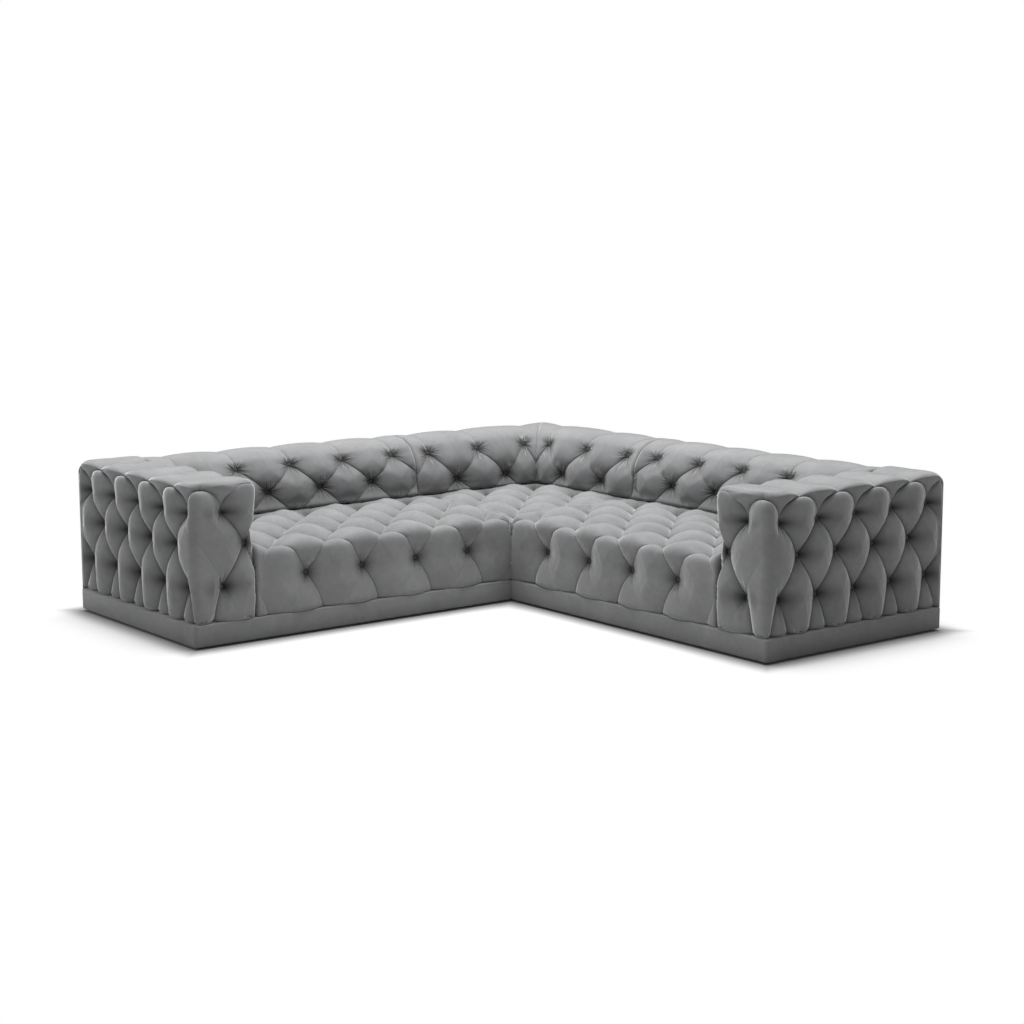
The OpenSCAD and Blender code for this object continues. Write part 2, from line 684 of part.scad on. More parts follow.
// Corner seat pad: its buttons lie on a square lattice set across the corner's diagonal
function roll(d) =
    d < seat_edge ? seat_wall + sqrt(pow(seat_edge, 2) - pow(seat_edge - d, 2)) : seat_front_height;
function corner_dome(d) = max(0, dome_at(d));
function corner_seat_z(x, y) = roll(max(x, y)) + seat_dome * corner_dome(max(x, y));
function corner_seat_u(x) = (x - seat_first_row) / (2 * seat_row);
function corner_seat_v(y) = (y - seat_first_row) / seat_row;
function corner_seat_depth(x, y) = tuft(corner_seat_u(x), corner_seat_v(y), seat_crease, seat_pit);
module corner_seat_pad() {
    grid = places(seat_first_row, 2 * seat_row, slip, seat_rear - slip);
    lines = concat([grid[0], seat_edge], [for (i = [1:len(grid) - 1]) grid[i]]);
    columns = [
        for (x = lines) concat(
            [[x, seat_rear - slip, deck_height], [x, slip, deck_height]],
            [for (y = lines) [x, y, corner_seat_z(x, y) - corner_seat_depth(x, y)]])
    ];
    ends = flat_ends(len(columns), len(columns[0]), 0);
    color(velvet) quilt(columns, [for (x = lines) corner_seat_u(x)], [for (y = lines) corner_seat_v(y)],
        2, true, ends);
}
module corner_seat_buttons() {
    lift = slip + corner_ease * button_r * (corner_seat_depth(seat_first_row, seat_first_row)
        - corner_seat_depth(seat_first_row + seat_row / 2, seat_first_row)) / (seat_row / 2);
    color(velvet) for (i = [0:top_rows], j = [0:top_rows])
        if ((i + j) % 2 == 0 && max(i, j) * seat_row + seat_first_row < seat_rear - 2 * button_r)
            let (x = seat_first_row + i * seat_row, y = seat_first_row + j * seat_row)
            translate([x, y, corner_seat_z(x, y) - corner_seat_depth(x, y) + lift]) button();
}

// Corner back pads: each runs from its joint to the mitre on the diagonal
mitre_valley_share = 1.2;
corner_knee = back_front - button_r / 2;
function valley(row, f) = f < 1 ? 0 : row[3] * mitre_valley_share;
function corner_back_point(j, u, x, f) =
    let (row = back_profile[j], out = outward(back_profile, j))
    let (depth = max(row_depth(row, u), valley(row, f)))
    let (y = row[0] - out[0] * depth, z = row[1] - out[1] * depth)
    [f < 0 ? x : corner_knee + f * (y - slip - corner_knee), y, z];
function corner_lining(p, x, f) = [f < 0 ? x : corner_knee + f * (p[0] - slip - corner_knee), p[0], p[1]];
module corner_back_pad() {
    xs = places(corner_first_button, corner_pitch, slip, corner_knee);
    stations = concat([for (x = xs) [x, -1]], [[back_front, 0.5], [module_depth, 1]]);
    us = [for (s = stations) (s[0] - corner_first_button) / corner_pitch - 1 / 2];
    rows = [0:len(back_profile) - 1];
    columns = [
        for (i = [0:len(stations) - 1])
            let (s = stations[i])
            concat(
                [for (p = back_closing) corner_lining(p, s[0], s[1])],
                [for (j = rows) corner_back_point(j, us[i], s[0], s[1])])
    ];
    ends = flat_ends(len(columns), len(columns[0]), back_cap_point);
    color(velvet) quilt(columns, us, [for (row = back_profile) row[2]], len(back_closing), true, ends);
}
module corner_back_buttons() {
    back_buttons(corner_first_button, corner_pitch, back_front - 2 * button_r);
    swapped() back_buttons(corner_first_button, corner_pitch, back_front - 2 * button_r);
}
module corner_back_half() {
    back_posts(frame_side, rail_rear - rail_thick, 3);
    back_rails(frame_side, corner_post);
}
corner_post = web_at(back_cap) + strap_thick + 2 * rail_thick;
module corner_back_frame() {
    corner_back_half();
    swapped() corner_back_half();
    low = corner_post - rail_thick / 2;
    color(timber) block([low, low, plinth_top], [low + rail_thick, low + rail_thick, back_cap]);
}
module corner_back_webbing() {
    back_webbing(frame_side + rail_thick, web_foot - rail_thick);
    swapped() back_webbing(frame_side + rail_thick, web_foot - rail_thick);
}

// Hooking plates under a joint: a round tongue on the corner module drops into a jaw on the arm module
joint_shares = [0.2, 0.8];
tongue_neck_share = 0.55;
module tongue_outline(grown) {
    neck = tongue_r * tongue_neck_share + grown;
    translate([plate_width / 2, 0]) circle(tongue_r + grown, $fn = 48);
    translate([-2 * cover_inset, -neck]) square([plate_width / 2 + 2 * cover_inset, 2 * neck]);
}
module plate_outline() {
    translate([slip + cover_inset, -plate_width / 2]) square([plate_length, plate_width]);
}
function screw_places() = [
    for (x = [cover_inset + 2 * screw_r, cover_inset + plate_length - 2 * screw_r], y = [-1, 1])
        [x, y * (plate_width / 2 - 1.6 * screw_r)]
];
module screw_holes() {
    for (p = screw_places()) translate(p) circle(screw_r + slip, $fn = 32);
}
module at_joints() {
    for (share = joint_shares)
        translate([0, share * module_depth, glide_height - plate_thick]) linear_extrude(plate_thick) children();
}
module joint_jaws() {
    color(steel) at_joints() difference() {
        plate_outline();
        tongue_outline(bore_slip);
        screw_holes();
    }
}
module joint_tongues() {
    color(steel) at_joints() {
        difference() {
            plate_outline();
            screw_holes();
        }
        mirror([1, 0]) tongue_outline(0);
    }
}
module joint_heads() {
    at_joints() for (p = screw_places()) translate(p) circle(screw_r, $fn = 32);
}
module joint_screws() {
    color(steel) {
        right_side() joint_heads();
        left_side() joint_heads();
        corner_side() joint_heads();
        corner_side() swapped() joint_heads();
    }
}

// An arm module's base, frame and springs
module wing_plinth() {
    plinth(wing_length, 0, true, wing_glide_xs);
}
module wing_glides() {
    glides(wing_glide_xs);
}
module wing_dust_cover() {
    dust_cover(wing_length);
}
module wing_seat_frame() {
    seat_frame(frame_side, rail_front, seat_end - slip, rail_rear);
}
module wing_seat_springs() {
    springs(frame_side + rail_thick, seat_end - rail_thick, spring_start, spring_stop);
}
module wing_spring_clips() {
    spring_clips(frame_side + rail_thick, seat_end - rail_thick, spring_start, spring_stop);
}
module wing_back_frame() {
    back_posts(frame_side, seat_end - slip, 4);
    back_rails(frame_side, seat_end - slip);
}
module wing_back_webbing() {
    back_webbing(frame_side + rail_thick, seat_end - rail_thick);
}
module wing_back_buttons() {
    back_buttons(back_first_button, back_pitch, seat_end);
}
module wing_outside_back() {
    outside_back(slip, arm_outer);
}

// The corner module's base, frame and springs
module corner_plinth() {
    plinth(module_depth, slip, false, corner_glide_xs);
}
module corner_glides() {
    glides(corner_glide_xs);
}
module corner_dust_cover() {
    dust_cover(module_depth);
}
module corner_seat_frame() {
    seat_frame(frame_side, frame_side, rail_rear, rail_rear);
}
corner_spring_start = frame_side + rail_thick / 2;
module corner_seat_springs() {
    springs(frame_side + rail_thick, rail_rear - rail_thick, corner_spring_start, spring_stop);
}
module corner_spring_clips() {
    spring_clips(frame_side + rail_thick, rail_rear - rail_thick, corner_spring_start, spring_stop);
}
module corner_outside_back_right() {
    outside_back(slip, panel_rear);
}
module corner_outside_back_left() {
    outside_back(slip, panel_front);
}

left_side() wing_plinth();  // left_plinth
left_side() wing_glides();  // left_glides
left_side() wing_dust_cover();  // left_dust_cover
left_side() wing_seat_frame();  // left_seat_frame
left_side() wing_seat_springs();  // left_seat_springs
left_side() wing_spring_clips();  // left_spring_clips
left_side() wing_seat_pad();  // left_seat_pad
left_side() wing_front_pad();  // left_front_pad
left_side() wing_seat_buttons();  // left_seat_buttons
left_side() wing_back_frame();  // left_back_frame
left_side() wing_back_webbing();  // left_back_webbing
left_side() wing_back_pad();  // left_back_pad
left_side() wing_back_buttons();  // left_back_buttons
left_side() wing_outside_back();  // left_outside_back
left_side() wing_arm_frame();  // left_arm_frame
left_side() wing_arm_boards();  // left_arm_boards
left_side() wing_arm_pad();  // left_arm_pad
left_side() wing_arm_buttons();  // left_arm_buttons
right_side() wing_plinth();  // right_plinth
right_side() wing_glides();  // right_glides
right_side() wing_dust_cover();  // right_dust_cover
right_side() wing_seat_frame();  // right_seat_frame
right_side() wing_seat_springs();  // right_seat_springs
right_side() wing_spring_clips();  // right_spring_clips
right_side() wing_seat_pad();  // right_seat_pad
right_side() wing_front_pad();  // right_front_pad
right_side() wing_seat_buttons();  // right_seat_buttons
right_side() wing_back_frame();  // right_back_frame
right_side() wing_back_webbing();  // right_back_webbing
right_side() wing_back_pad();  // right_back_pad
right_side() wing_back_buttons();  // right_back_buttons
right_side() wing_outside_back();  // right_outside_back
right_side() wing_arm_frame();  // right_arm_frame
right_side() wing_arm_boards();  // right_arm_boards
right_side() wing_arm_pad();  // right_arm_pad
right_side() wing_arm_buttons();  // right_arm_buttons
corner_side() corner_plinth();
corner_side() corner_glides();
corner_side() corner_dust_cover();
corner_side() corner_seat_frame();
corner_side() corner_seat_springs();
corner_side() corner_spring_clips();
corner_side() corner_seat_pad();
corner_side() corner_seat_buttons();
corner_side() corner_back_frame();
corner_side() corner_back_webbing();
corner_side() swapped() corner_back_pad();  // corner_back_pad_left
corner_side() corner_back_pad();  // corner_back_pad_right
corner_side() corner_back_buttons();
corner_side() swapped() corner_outside_back_left();
corner_side() corner_outside_back_right();
left_side() joint_jaws();  // left_joint_jaws
corner_side() swapped() joint_tongues();  // left_joint_tongues
right_side() joint_jaws();  // right_joint_jaws
corner_side() joint_tongues();  // right_joint_tongues
joint_screws();
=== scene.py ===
# %% [markdown]
# # A buttoned corner sofa in grey velvet
# The frame of this object comes from its CAD model: timber, springs, webbing, boards and hard base.
# This script dresses it. Each cell makes one piece or one finish, and says first what that is on a
# real sofa and why it is made this way.

# %% Load the frame
import math

import bmesh
import bpy
import numpy as np
from mathutils import Matrix, Vector


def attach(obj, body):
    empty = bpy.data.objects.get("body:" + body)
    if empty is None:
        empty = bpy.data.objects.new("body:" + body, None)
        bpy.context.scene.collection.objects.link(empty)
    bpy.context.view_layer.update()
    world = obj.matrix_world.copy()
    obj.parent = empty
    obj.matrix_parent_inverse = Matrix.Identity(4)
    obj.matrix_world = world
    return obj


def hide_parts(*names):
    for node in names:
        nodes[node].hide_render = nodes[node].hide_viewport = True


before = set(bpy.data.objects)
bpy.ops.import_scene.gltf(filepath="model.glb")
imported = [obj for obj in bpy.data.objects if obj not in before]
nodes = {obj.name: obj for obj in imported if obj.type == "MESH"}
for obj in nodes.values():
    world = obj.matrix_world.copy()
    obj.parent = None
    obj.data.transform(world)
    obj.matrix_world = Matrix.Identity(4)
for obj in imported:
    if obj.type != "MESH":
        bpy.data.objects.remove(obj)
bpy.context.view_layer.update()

scene = bpy.context.scene
print("frame nodes:", len(nodes))

# %% [markdown]
# ## Units and places
# The upholstery is worked out in millimetres, as an upholsterer would measure it, and made in metres.
# An arm module is drawn with x along it from its joint, y from its front to its rear and z up, and
# then stood where the frame has it. The left module is the mirror image of the right one, and the
# corner module is drawn with x running from its joint to the outer corner.

# %% Sizes of the modules
MM = 0.001
module_depth = 1100.0
wing_length = 1710.0
arm_width = 310.0
half = (module_depth + wing_length) / 2
inner = module_depth - half
body_front = 4.0
seat_end = wing_length - arm_width
seat_rear = 800.0
back_front = 760.0
slip = 0.3
panel_thick = 14.0
panel_rear = module_depth - body_front / 2
panel_front = panel_rear - panel_thick
plinth_base = 10.0
plinth_top = 107.0
deck_height = 330.0
rear_edge_height = 690.0
arm_outer = wing_length - body_front


def right_place(p):
    return np.stack([p[..., 0] + inner, p[..., 1] - inner, p[..., 2]], -1)


def left_place(p):
    return np.stack([inner - p[..., 1], -inner - p[..., 0], p[..., 2]], -1)


def corner_right_place(p):
    return np.stack([inner - p[..., 0], p[..., 1] - inner, p[..., 2]], -1)


def corner_left_place(p):
    return corner_right_place(p[..., [1, 0, 2]])


sides = {"right": right_place, "left": left_place}
print("joint corner at", inner, "mm")

# %% [markdown]
# ## The camera
# It stands low in front of the right arm, as far off as a long lens wants, so both sides of the
# corner run towards it.

# %% Camera
camera_data = bpy.data.cameras.new("photo_camera")
camera = bpy.data.objects.new("photo_camera", camera_data)
scene.collection.objects.link(camera)
scene.camera = camera
camera_data.lens = 68.0
camera_data.sensor_width = 36.0
camera_data.clip_end = 60.0
camera_place = (6.897, -5.306, 1.851)
azimuth, elevation, camera_roll = math.radians(52.0485), math.radians(8.8102), math.radians(-0.1382)
backward = Vector((math.sin(azimuth) * math.cos(elevation),
                   -math.cos(azimuth) * math.cos(elevation), math.sin(elevation)))
turned = backward.to_track_quat("Z", "Y").to_matrix().to_4x4() @ Matrix.Rotation(camera_roll, 4, "Z")
camera.matrix_world = Matrix.Translation(camera_place) @ turned
print("camera at", camera_place)

# %% [markdown]
# ## How a buttoned cover is shaped
# Deep buttoning pulls the cover down at a lattice of buttons. Straight pleats join each button to its
# four neighbours and leave a full, round pillow in every diamond. With u counting buttons along a row
# and v counting rows, the pleats are the lines where u + v/2 or u - v/2 is a whole number. The height
# of the cover is the product of two rows of arches, one across each family of pleats, so it leaves a
# pleat steeply and is round on top.
# The grid of points is laid so that every pleat is a line of its edges, and the points are drawn in
# towards the pleats, where the cover turns fastest.

# %% Lattice helpers
steps = 28
squeeze_share = 0.74
pillow_share = 0.5
proud = 13.0
full_relief = 48.0
pit_reach = (72.0, 48.0)
all_rows = 9


def smooth_step(t):
    t = np.clip(t, 0, 1)
    return t * t * (3 - 2 * t)


def ramp(value, start, width):
    """0 up to start, 1 from start + width on, smooth between. A negative width runs the other way."""
    return smooth_step((value - start) / width)


def edge_fade(values, low, high, width):
    return ramp(values, low, width) * ramp(values, high, -width)


def mixed(start, end, share):
    return start + (end - start) * share


def pillow(a, b, keep_a=1.0, keep_b=1.0, share=pillow_share):
    """Height of a pillow, 0 on its pleats and 1 at its crown. A pleat with keep 0 is smoothed away."""
    over_a = 1 - keep_a * (1 - np.abs(np.sin(np.pi * a)) ** share)
    over_b = 1 - keep_b * (1 - np.abs(np.sin(np.pi * b)) ** share)
    return over_a * over_b


def lattice_lines(low, high, step):
    """Every whole step between low and high, and the two ends."""
    first, last = math.ceil(low / step + 0.35), math.floor(high / step - 0.35)
    return np.concatenate([[low], np.arange(first, last + 1) * step, [high]])


def lattice_grid(u_ends, v_ends, v_high, holds):
    """A grid of places u, v, and the same drawn in towards the pleats: its u, v and its places a, b
    across the two families of pleats. Near the grid's edges, as far as holds says, it isn't drawn in.
    Above row v_high the pleats run straight on."""
    us, vs = lattice_lines(*u_ends, 1 / (2 * steps)), lattice_lines(*v_ends, 1 / steps)
    u, v = np.meshgrid(us, vs, indexing="ij")
    drawn = edge_fade(u, us[0], us[-1], holds[0]) * edge_fade(v, vs[0], vs[-1], holds[1]) * squeeze_share
    flat = np.minimum(v, v_high)
    a, b = u + flat / 2, u - flat / 2
    a = a - drawn / (2 * np.pi) * np.sin(2 * np.pi * a)
    b = b - drawn / (2 * np.pi) * np.sin(2 * np.pi * b)
    return u, v, (a + b) / 2, v + (a - b) - flat, a, b


def nearest_button(u, v):
    """Distances along the row and across it to the nearest button, in pitches and rows."""
    a, b = u + v / 2, u - v / 2
    a, b = a - np.round(a), b - np.round(b)
    return (a + b) / 2, a - b


def funnel(dx, dy):
    """The pit round a button: steep at the button, and wider along its row than across it."""
    return np.exp(-np.hypot(dx / pit_reach[0], dy / pit_reach[1]) ** 1.15)


def gathers(u, v, du, dv, dx, dy):
    """Small folds that run out from the nearest button, strongest a little way off it."""
    away, angle = np.hypot(dx, dy), np.arctan2(dy, dx)
    seed = np.round(u - du + 0.25) * 2.3 + v - dv
    folds = np.sin(9 * angle + seed) + 0.7 * np.sin(14 * angle + 2.1 * seed)
    return folds * np.clip(away / 22, 0, 1) * np.exp(-(away / 48) ** 2)


def at_place(surface, u, v, *more):
    """What a surface function gives at one place of the lattice."""
    u, v = np.float64(u), np.float64(v)
    return surface(u, v, u + v / 2, u - v / 2, *more)


def grid_faces(columns, rows, u, v, lead, wrap):
    """Triangles of a grid of points, each square split along the nearer pleat."""
    i, j = np.meshgrid(np.arange(columns - 1), np.arange(rows if wrap else rows - 1), indexing="ij")
    i, j = i.ravel(), j.ravel()
    k = (j + 1) % rows
    p, q, r, s = i * rows + j, (i + 1) * rows + j, (i + 1) * rows + k, i * rows + k
    ju = np.where((j >= lead) & (j < rows - 1), j - lead, 0)
    um = (u[i, ju] + u[np.minimum(i + 1, columns - 1), ju]) / 2
    vm = (v[i, ju] + v[i, np.minimum(ju + 1, v.shape[1] - 1)]) / 2
    a, b = um + vm / 2, um - vm / 2
    falling = np.abs(a - np.round(a)) < np.abs(b - np.round(b))
    first = np.where(falling[:, None], np.stack([p, q, s], 1), np.stack([p, q, r], 1))
    second = np.where(falling[:, None], np.stack([q, r, s], 1), np.stack([p, r, s], 1))
    return np.concatenate([first, second])


def edge_drop(distance, radius):
    """How far a rounded edge falls below the cover, at a distance from it."""
    inside = np.clip(1 - distance / radius, 0, 1)
    return radius * (1 - np.sqrt(1 - inside ** 2))


print("lattice steps per pillow:", steps)

# %% [markdown]
# ## Turning points into a piece
# Every cover is a closed pad: its tufted face, its lining, and flat ends. The doubles are merged and
# the faces turned outwards, because a mirrored module would otherwise be inside out. Each point also
# keeps its place in the lattice, so that the velvet can crease round the buttons.

# %% Piece helpers
made_pieces = {}
button_spots = {}
# Painted shade: how much of the velvet's colour and sheen is darkened on the lining, in the pleats and round
# the buttons' pits.
lining_shade, pleat_shade, pit_shade = 0.3, 0.3, 0.85
merge_within = 2e-5


def finish_piece(name, columns, faces, lattice, hollow, place):
    """A mesh object from columns of points in millimetres, of which the first ones are the lining."""
    lining = ((0, 0), (columns.shape[1] - lattice.shape[1], 0))
    mesh = bpy.data.meshes.new(name)
    mesh.from_pydata((place(columns.reshape(-1, 3)) * MM).tolist(), [], faces)
    # Each point keeps its lattice place and how much shade is painted on it.
    for key, kind, field, values in (
            ("lattice", "FLOAT_VECTOR", "vector", np.pad(lattice, (*lining, (0, 0)))),
            ("hollow", "FLOAT", "value", np.pad(hollow, lining, constant_values=lining_shade))):
        mesh.attributes.new(key, kind, "POINT").data.foreach_set(field, values.astype(np.float32).ravel())
    shaped = bmesh.new()
    shaped.from_mesh(mesh)
    bmesh.ops.remove_doubles(shaped, verts=shaped.verts, dist=merge_within)
    bmesh.ops.dissolve_degenerate(shaped, edges=shaped.edges, dist=merge_within / 20)
    bmesh.ops.recalc_face_normals(shaped, faces=shaped.faces)
    open_edges = sum(1 for e in shaped.edges if len(e.link_faces) != 2)
    shaped.to_mesh(mesh)
    shaped.free()
    mesh.polygons.foreach_set("use_smooth", [True] * len(mesh.polygons))
    piece = bpy.data.objects.new(name, mesh)
    scene.collection.objects.link(piece)
    made_pieces[name] = piece
    print(name, "faces", len(mesh.polygons), "open edges", open_edges)


def lattice_of(u, v, pitch, row, strength, beyond=0.0):
    """Each point's place from its nearest button in millimetres, and the strength of the folds there."""
    du, dv = nearest_button(u, v)
    dx, dy = du * pitch, (dv + beyond) * row
    away = np.hypot(dx, dy)
    folds = ramp(away, 4, 14) * ramp(away, 76, -52) * (0.45 + 0.55 * ramp(dy, -25, 50))
    return np.stack([dx, dy, folds * strength], -1)


def painted_shade_of(depth, lattice, wide, high, present=1.0):
    """How much shade is painted into the velvet's colour at each point, 0 to 1: most in the pits round the
    buttons, and a little in every pleat.
    """
    pit = np.exp(-np.hypot(lattice[..., 0] / wide, lattice[..., 1] / high) ** 1.4) * present
    return np.clip(pleat_shade * np.clip(depth / full_relief, 0, 1) ** 1.5 + pit_shade * pit, 0, 1)


def lining_columns(x, places):
    """The columns of a lining, which lie at every x: one point for each of the places y, z."""
    return np.stack([np.stack([x, np.full(len(x), y), np.full(len(x), z)], -1) for y, z in places], 1)


def column_pad(name, lead, face, u, v, lattice, hollow, place):
    """Closed pad from columns of points, each a closed ring whose first points are its lining."""
    columns = np.concatenate([lead, face], 1)
    m, n = columns.shape[:2]
    faces = grid_faces(m, n, u, v, lead.shape[1], True).tolist()
    faces.append(list(range(n)))
    faces.append([(m - 1) * n + j for j in range(n)])
    finish_piece(name, columns, faces, lattice, hollow, place)


def keep_button(group, place, point, normal):
    """Notes a button at a point of a cover, in the sofa's own frame."""
    end = place(np.array([point, point + normal]))
    button_spots.setdefault(group, []).append((end[0], end[1] - end[0]))


# %% [markdown]
# ## Seat covers
# The seat pad is wrapped from the plinth up its front face, over a rolled edge and back under the back
# pad in one sheet, so the lattice runs on round the roll. Below the front buttons each pleat bends
# down to the plinth, and only the one towards the inner corner stays sharp.

# %% Seat profile
seat_pitch, seat_row = 298.0, 157.0
seat_first_row, seat_first_button = 100.0, 84.0
front_button_height = 270.0
seat_edge = 52.0
seat_front_height = 425.0
seat_dome = 15.0
seat_run = seat_rear - seat_first_row
seat_wall = seat_front_height - seat_edge
seat_flat = seat_first_row - seat_edge
seat_bend = seat_edge * math.pi / 2
front_run = seat_flat + seat_bend + seat_wall - front_button_height


def seat_section(v):
    """Place y, z and outward direction of the seat's cover at row v."""
    run = -v * front_run
    rolled = run > seat_flat
    turn = np.clip((run - seat_flat) / seat_bend, 0, 1) * np.pi / 2
    y_top = seat_first_row + np.where(v > 0, v * seat_row, -np.minimum(run, seat_flat))
    over = np.clip((y_top - seat_first_row) / seat_run, 0, 1)
    y = np.where(rolled, body_front + seat_edge * (1 - np.sin(turn)), y_top)
    z = np.where(rolled, seat_wall + seat_edge * np.cos(turn), seat_front_height)
    z = z + seat_dome * np.sin(np.pi * over)
    z = np.where(run > seat_flat + seat_bend, seat_wall - (run - seat_flat - seat_bend), z)
    slope = np.where(v > 0, seat_dome * np.pi / seat_run * np.cos(np.pi * over), 0)
    size = np.sqrt(1 + slope ** 2)
    return y, z, np.where(rolled, -np.sin(turn), -slope / size), np.where(rolled, np.cos(turn), 1 / size)


print("front run", round(front_run, 1), "mm")

# %% Seat cover
seat_crease, seat_pit, seat_share = 35.0, 13.0, 0.72
front_crease, front_pit = 14.0, 32.0
joint_round, seat_joint_round, seat_rear_round, foot_round = 16.0, 6.0, 22.0, 9.0
joint_fade = 60.0
beyond_joint = 25.0
under_back, under_back_fade = 722.0, 40.0
foot_bend, foot_bend_fade = 0.205, 120.0
front_overrun = 9.0
lining_front = 64.0
gather_height = 0.8
joint_margin, rear_margin = 20.0, 30.0


def facing_front(v):
    """0 on the seat's top and 1 on its front face."""
    return ramp(v, -0.1, -0.5)


def pressed_flat(y):
    """Share of the seat's relief that is left at y, since the back stands on its rear."""
    return 1 - 0.85 * ramp(y, under_back, under_back_fade)


def seat_buttoned(u, v):
    """1 where the nearest lattice place is on this cover and so has a button."""
    at = seat_first_button + (u - nearest_button(u, v)[0]) * seat_pitch
    return ((at > slip + joint_margin) & (at < seat_end - joint_margin)) * 1.0


def seat_surface(u, v, a, b):
    low, high = slip, seat_end - slip
    y, z, ny, nz = seat_section(v)
    facing = facing_front(v)
    one_pleat = 1 - 0.75 * ramp(v, -1, -0.25)
    rise = pillow(a, b, one_pleat, 1.0, mixed(seat_share, pillow_share, facing))
    crease = mixed(seat_crease, front_crease, facing)
    pit = mixed(seat_pit, front_pit, facing)
    du, dv = nearest_button(u, v)
    dx, dy = du * seat_pitch, dv * np.where(v < 0, front_run, seat_row)
    depth = crease - (crease + proud) * rise + pit * funnel(dx, dy) * seat_buttoned(u, v)
    depth = depth + gather_height * gathers(u, v, du, dv, dx, dy)
    x = seat_first_button + u * seat_pitch
    below = np.clip(-1 - v, 0, 1)
    x = x + foot_bend * below ** 2 * seat_pitch * edge_fade(x, low, high, foot_bend_fade)
    depth = depth * ramp(x, low - beyond_joint, joint_fade)
    depth = depth * ramp(x, high + beyond_joint, -joint_fade * (1 + 1.25 * facing)) * pressed_flat(y)
    depth = depth + edge_drop(x - low, seat_joint_round * (1 - 0.55 * facing))
    depth = depth + edge_drop(high - x, joint_round)
    depth = depth + edge_drop(z - plinth_top, foot_round) * (v < 0)
    depth = depth + edge_drop(seat_rear - slip - y, seat_rear_round) * (v > 0)
    # below the deck the front runs on past its joint end, so that the two fronts meet in the inner corner
    x = x - front_overrun * ramp(x, low + 40, -40) * ramp(z, deck_height, -12)
    return np.stack([x, y - ny * depth, z - nz * depth], -1), ny, nz, depth


def seat_cover(side, place):
    low, high = slip, seat_end - slip
    v_foot = -(seat_flat + seat_bend + seat_wall - plinth_top) / front_run
    v_rear = (seat_rear - slip - seat_first_row) / seat_row
    u, v, u2, v2, a, b = lattice_grid([(x - seat_first_button) / seat_pitch for x in (low, high)],
                                      (v_foot, v_rear), all_rows, (0.12, 0.2))
    face, _, _, depth = seat_surface(u2, v2, a, b)
    lead = lining_columns(face[:, 0, 0], (
        (seat_rear - slip, deck_height), (lining_front, deck_height), (lining_front, plinth_top)))
    for row in range(-1, math.floor(v_rear) + 1):
        for k in range(5):
            at = k + 0.5 * (row % 2)
            x = seat_first_button + at * seat_pitch
            fits = low + joint_margin < x < high - joint_margin
            if fits and seat_section(float(row))[0] <= seat_rear - rear_margin:
                point, ny, nz, _ = at_place(seat_surface, at, row)
                keep_button(side + "_seat_buttons", place, point, (0, ny, nz))
    on_front = facing_front(v2)
    lattice = lattice_of(u2, v2, seat_pitch, seat_row, np.where(v2 < -0.4, 0.5, 0.15))
    hollow = painted_shade_of(depth, lattice, 34 - 6 * on_front, 24 - 4 * on_front,
                       mixed(0.45, 1, on_front) * seat_buttoned(u2, v2))
    column_pad(side + "_seat_cover", lead, face, u, v, lattice, hollow, place)


for side, place in sides.items():
    seat_cover(side, place)

# %% [markdown]
# ## Back covers
# The back leans from the seat, swells to its fullest above the upper row of buttons and rolls over the
# top to a straight rear edge. Above the upper row each button has one pleat, which runs straight back.

# %% Back profile
back_stations = np.array([
    # y, z, row, share of the crease, tilt of the pull in degrees
    [796, 330, -1.57, 0.4, 0], [797, 421, -0.86, 0.4, 0], [768, 432, -0.7, 0.6, 0],
    [761, 465, -0.44, 0.9, 0], [760, 520, 0, 1, 0], [772, 580, 0.5, 1, 3], [803, 641, 1, 1, 9],
    [840, 682, 1.45, 0.9, 32], [886, 705, 1.85, 0.75, 58], [947, 715, 2.35, 0.6, 80],
    [1018, 711, 2.95, 0.5, 90], [1066, 700, 3.35, 0.5, 90], [1083, 691, 3.52, 0.5, 90]])


def smooth_through(knots, values, at):
    """A smooth curve through values at knots."""
    between = np.diff(knots)
    slopes = np.diff(values) / between
    middle = (slopes[:-1] * between[1:] + slopes[1:] * between[:-1]) / (between[:-1] + between[1:])
    tangents = np.concatenate([[slopes[0]], middle, [slopes[-1]]])
    k = np.clip(np.searchsorted(knots, at) - 1, 0, len(knots) - 2)
    h = between[k]
    t = (at - knots[k]) / h
    return (values[k] * (1 + 2 * t) * (1 - t) ** 2 + tangents[k] * h * t * (1 - t) ** 2
            + values[k + 1] * t ** 2 * (3 - 2 * t) - tangents[k + 1] * h * t ** 2 * (1 - t))


station_rows = back_stations[:, 2]
fine_v = np.linspace(station_rows[0], station_rows[-1], 1200)
back_table = {
    "y": smooth_through(station_rows, back_stations[:, 0], fine_v),
    "z": smooth_through(station_rows, back_stations[:, 1], fine_v),
    "share": np.interp(fine_v, station_rows, back_stations[:, 3]),
    "pull": np.interp(fine_v, station_rows, back_stations[:, 4])}


def on_back(v, what):
    return np.interp(v, fine_v, back_table[what])


# %% Back cover
back_crease, back_proud = 17.0, 8.0
lower_pit, upper_pit = 32.0, 24.0
valley = 2.5
back_gather_height = 2.2
back_row = 118.0
mitre_round = 6.0
mitre_pitch = 212.0
arm_joint_round = 16.0
arm_overrun = 40.0
corner_sink = 0.25
bend_from = 560.0
back_lining = ((panel_front, 665.0), (947.0, 665.0), (936.0, deck_height))
# The upper row is row 1. Just under 1, so that no point over the top takes a place of row 2 as its button.
upper_row = 0.999


def along_back(u, first, pitch, mitred):
    """Place x of column u. On the corner the columns lie closer past the second one, up to the mitre."""
    return first + u * pitch - mitred * np.clip(u - 1, 0, None) * (pitch - mitre_pitch)


def mitre_shift(x, y, high):
    """How far the mitre's slant moves a point at x, y: none up to bend_from, all of it at the mitre."""
    return np.clip((x - bend_from) / (high - bend_from), 0, 1) * (y - slip - high)


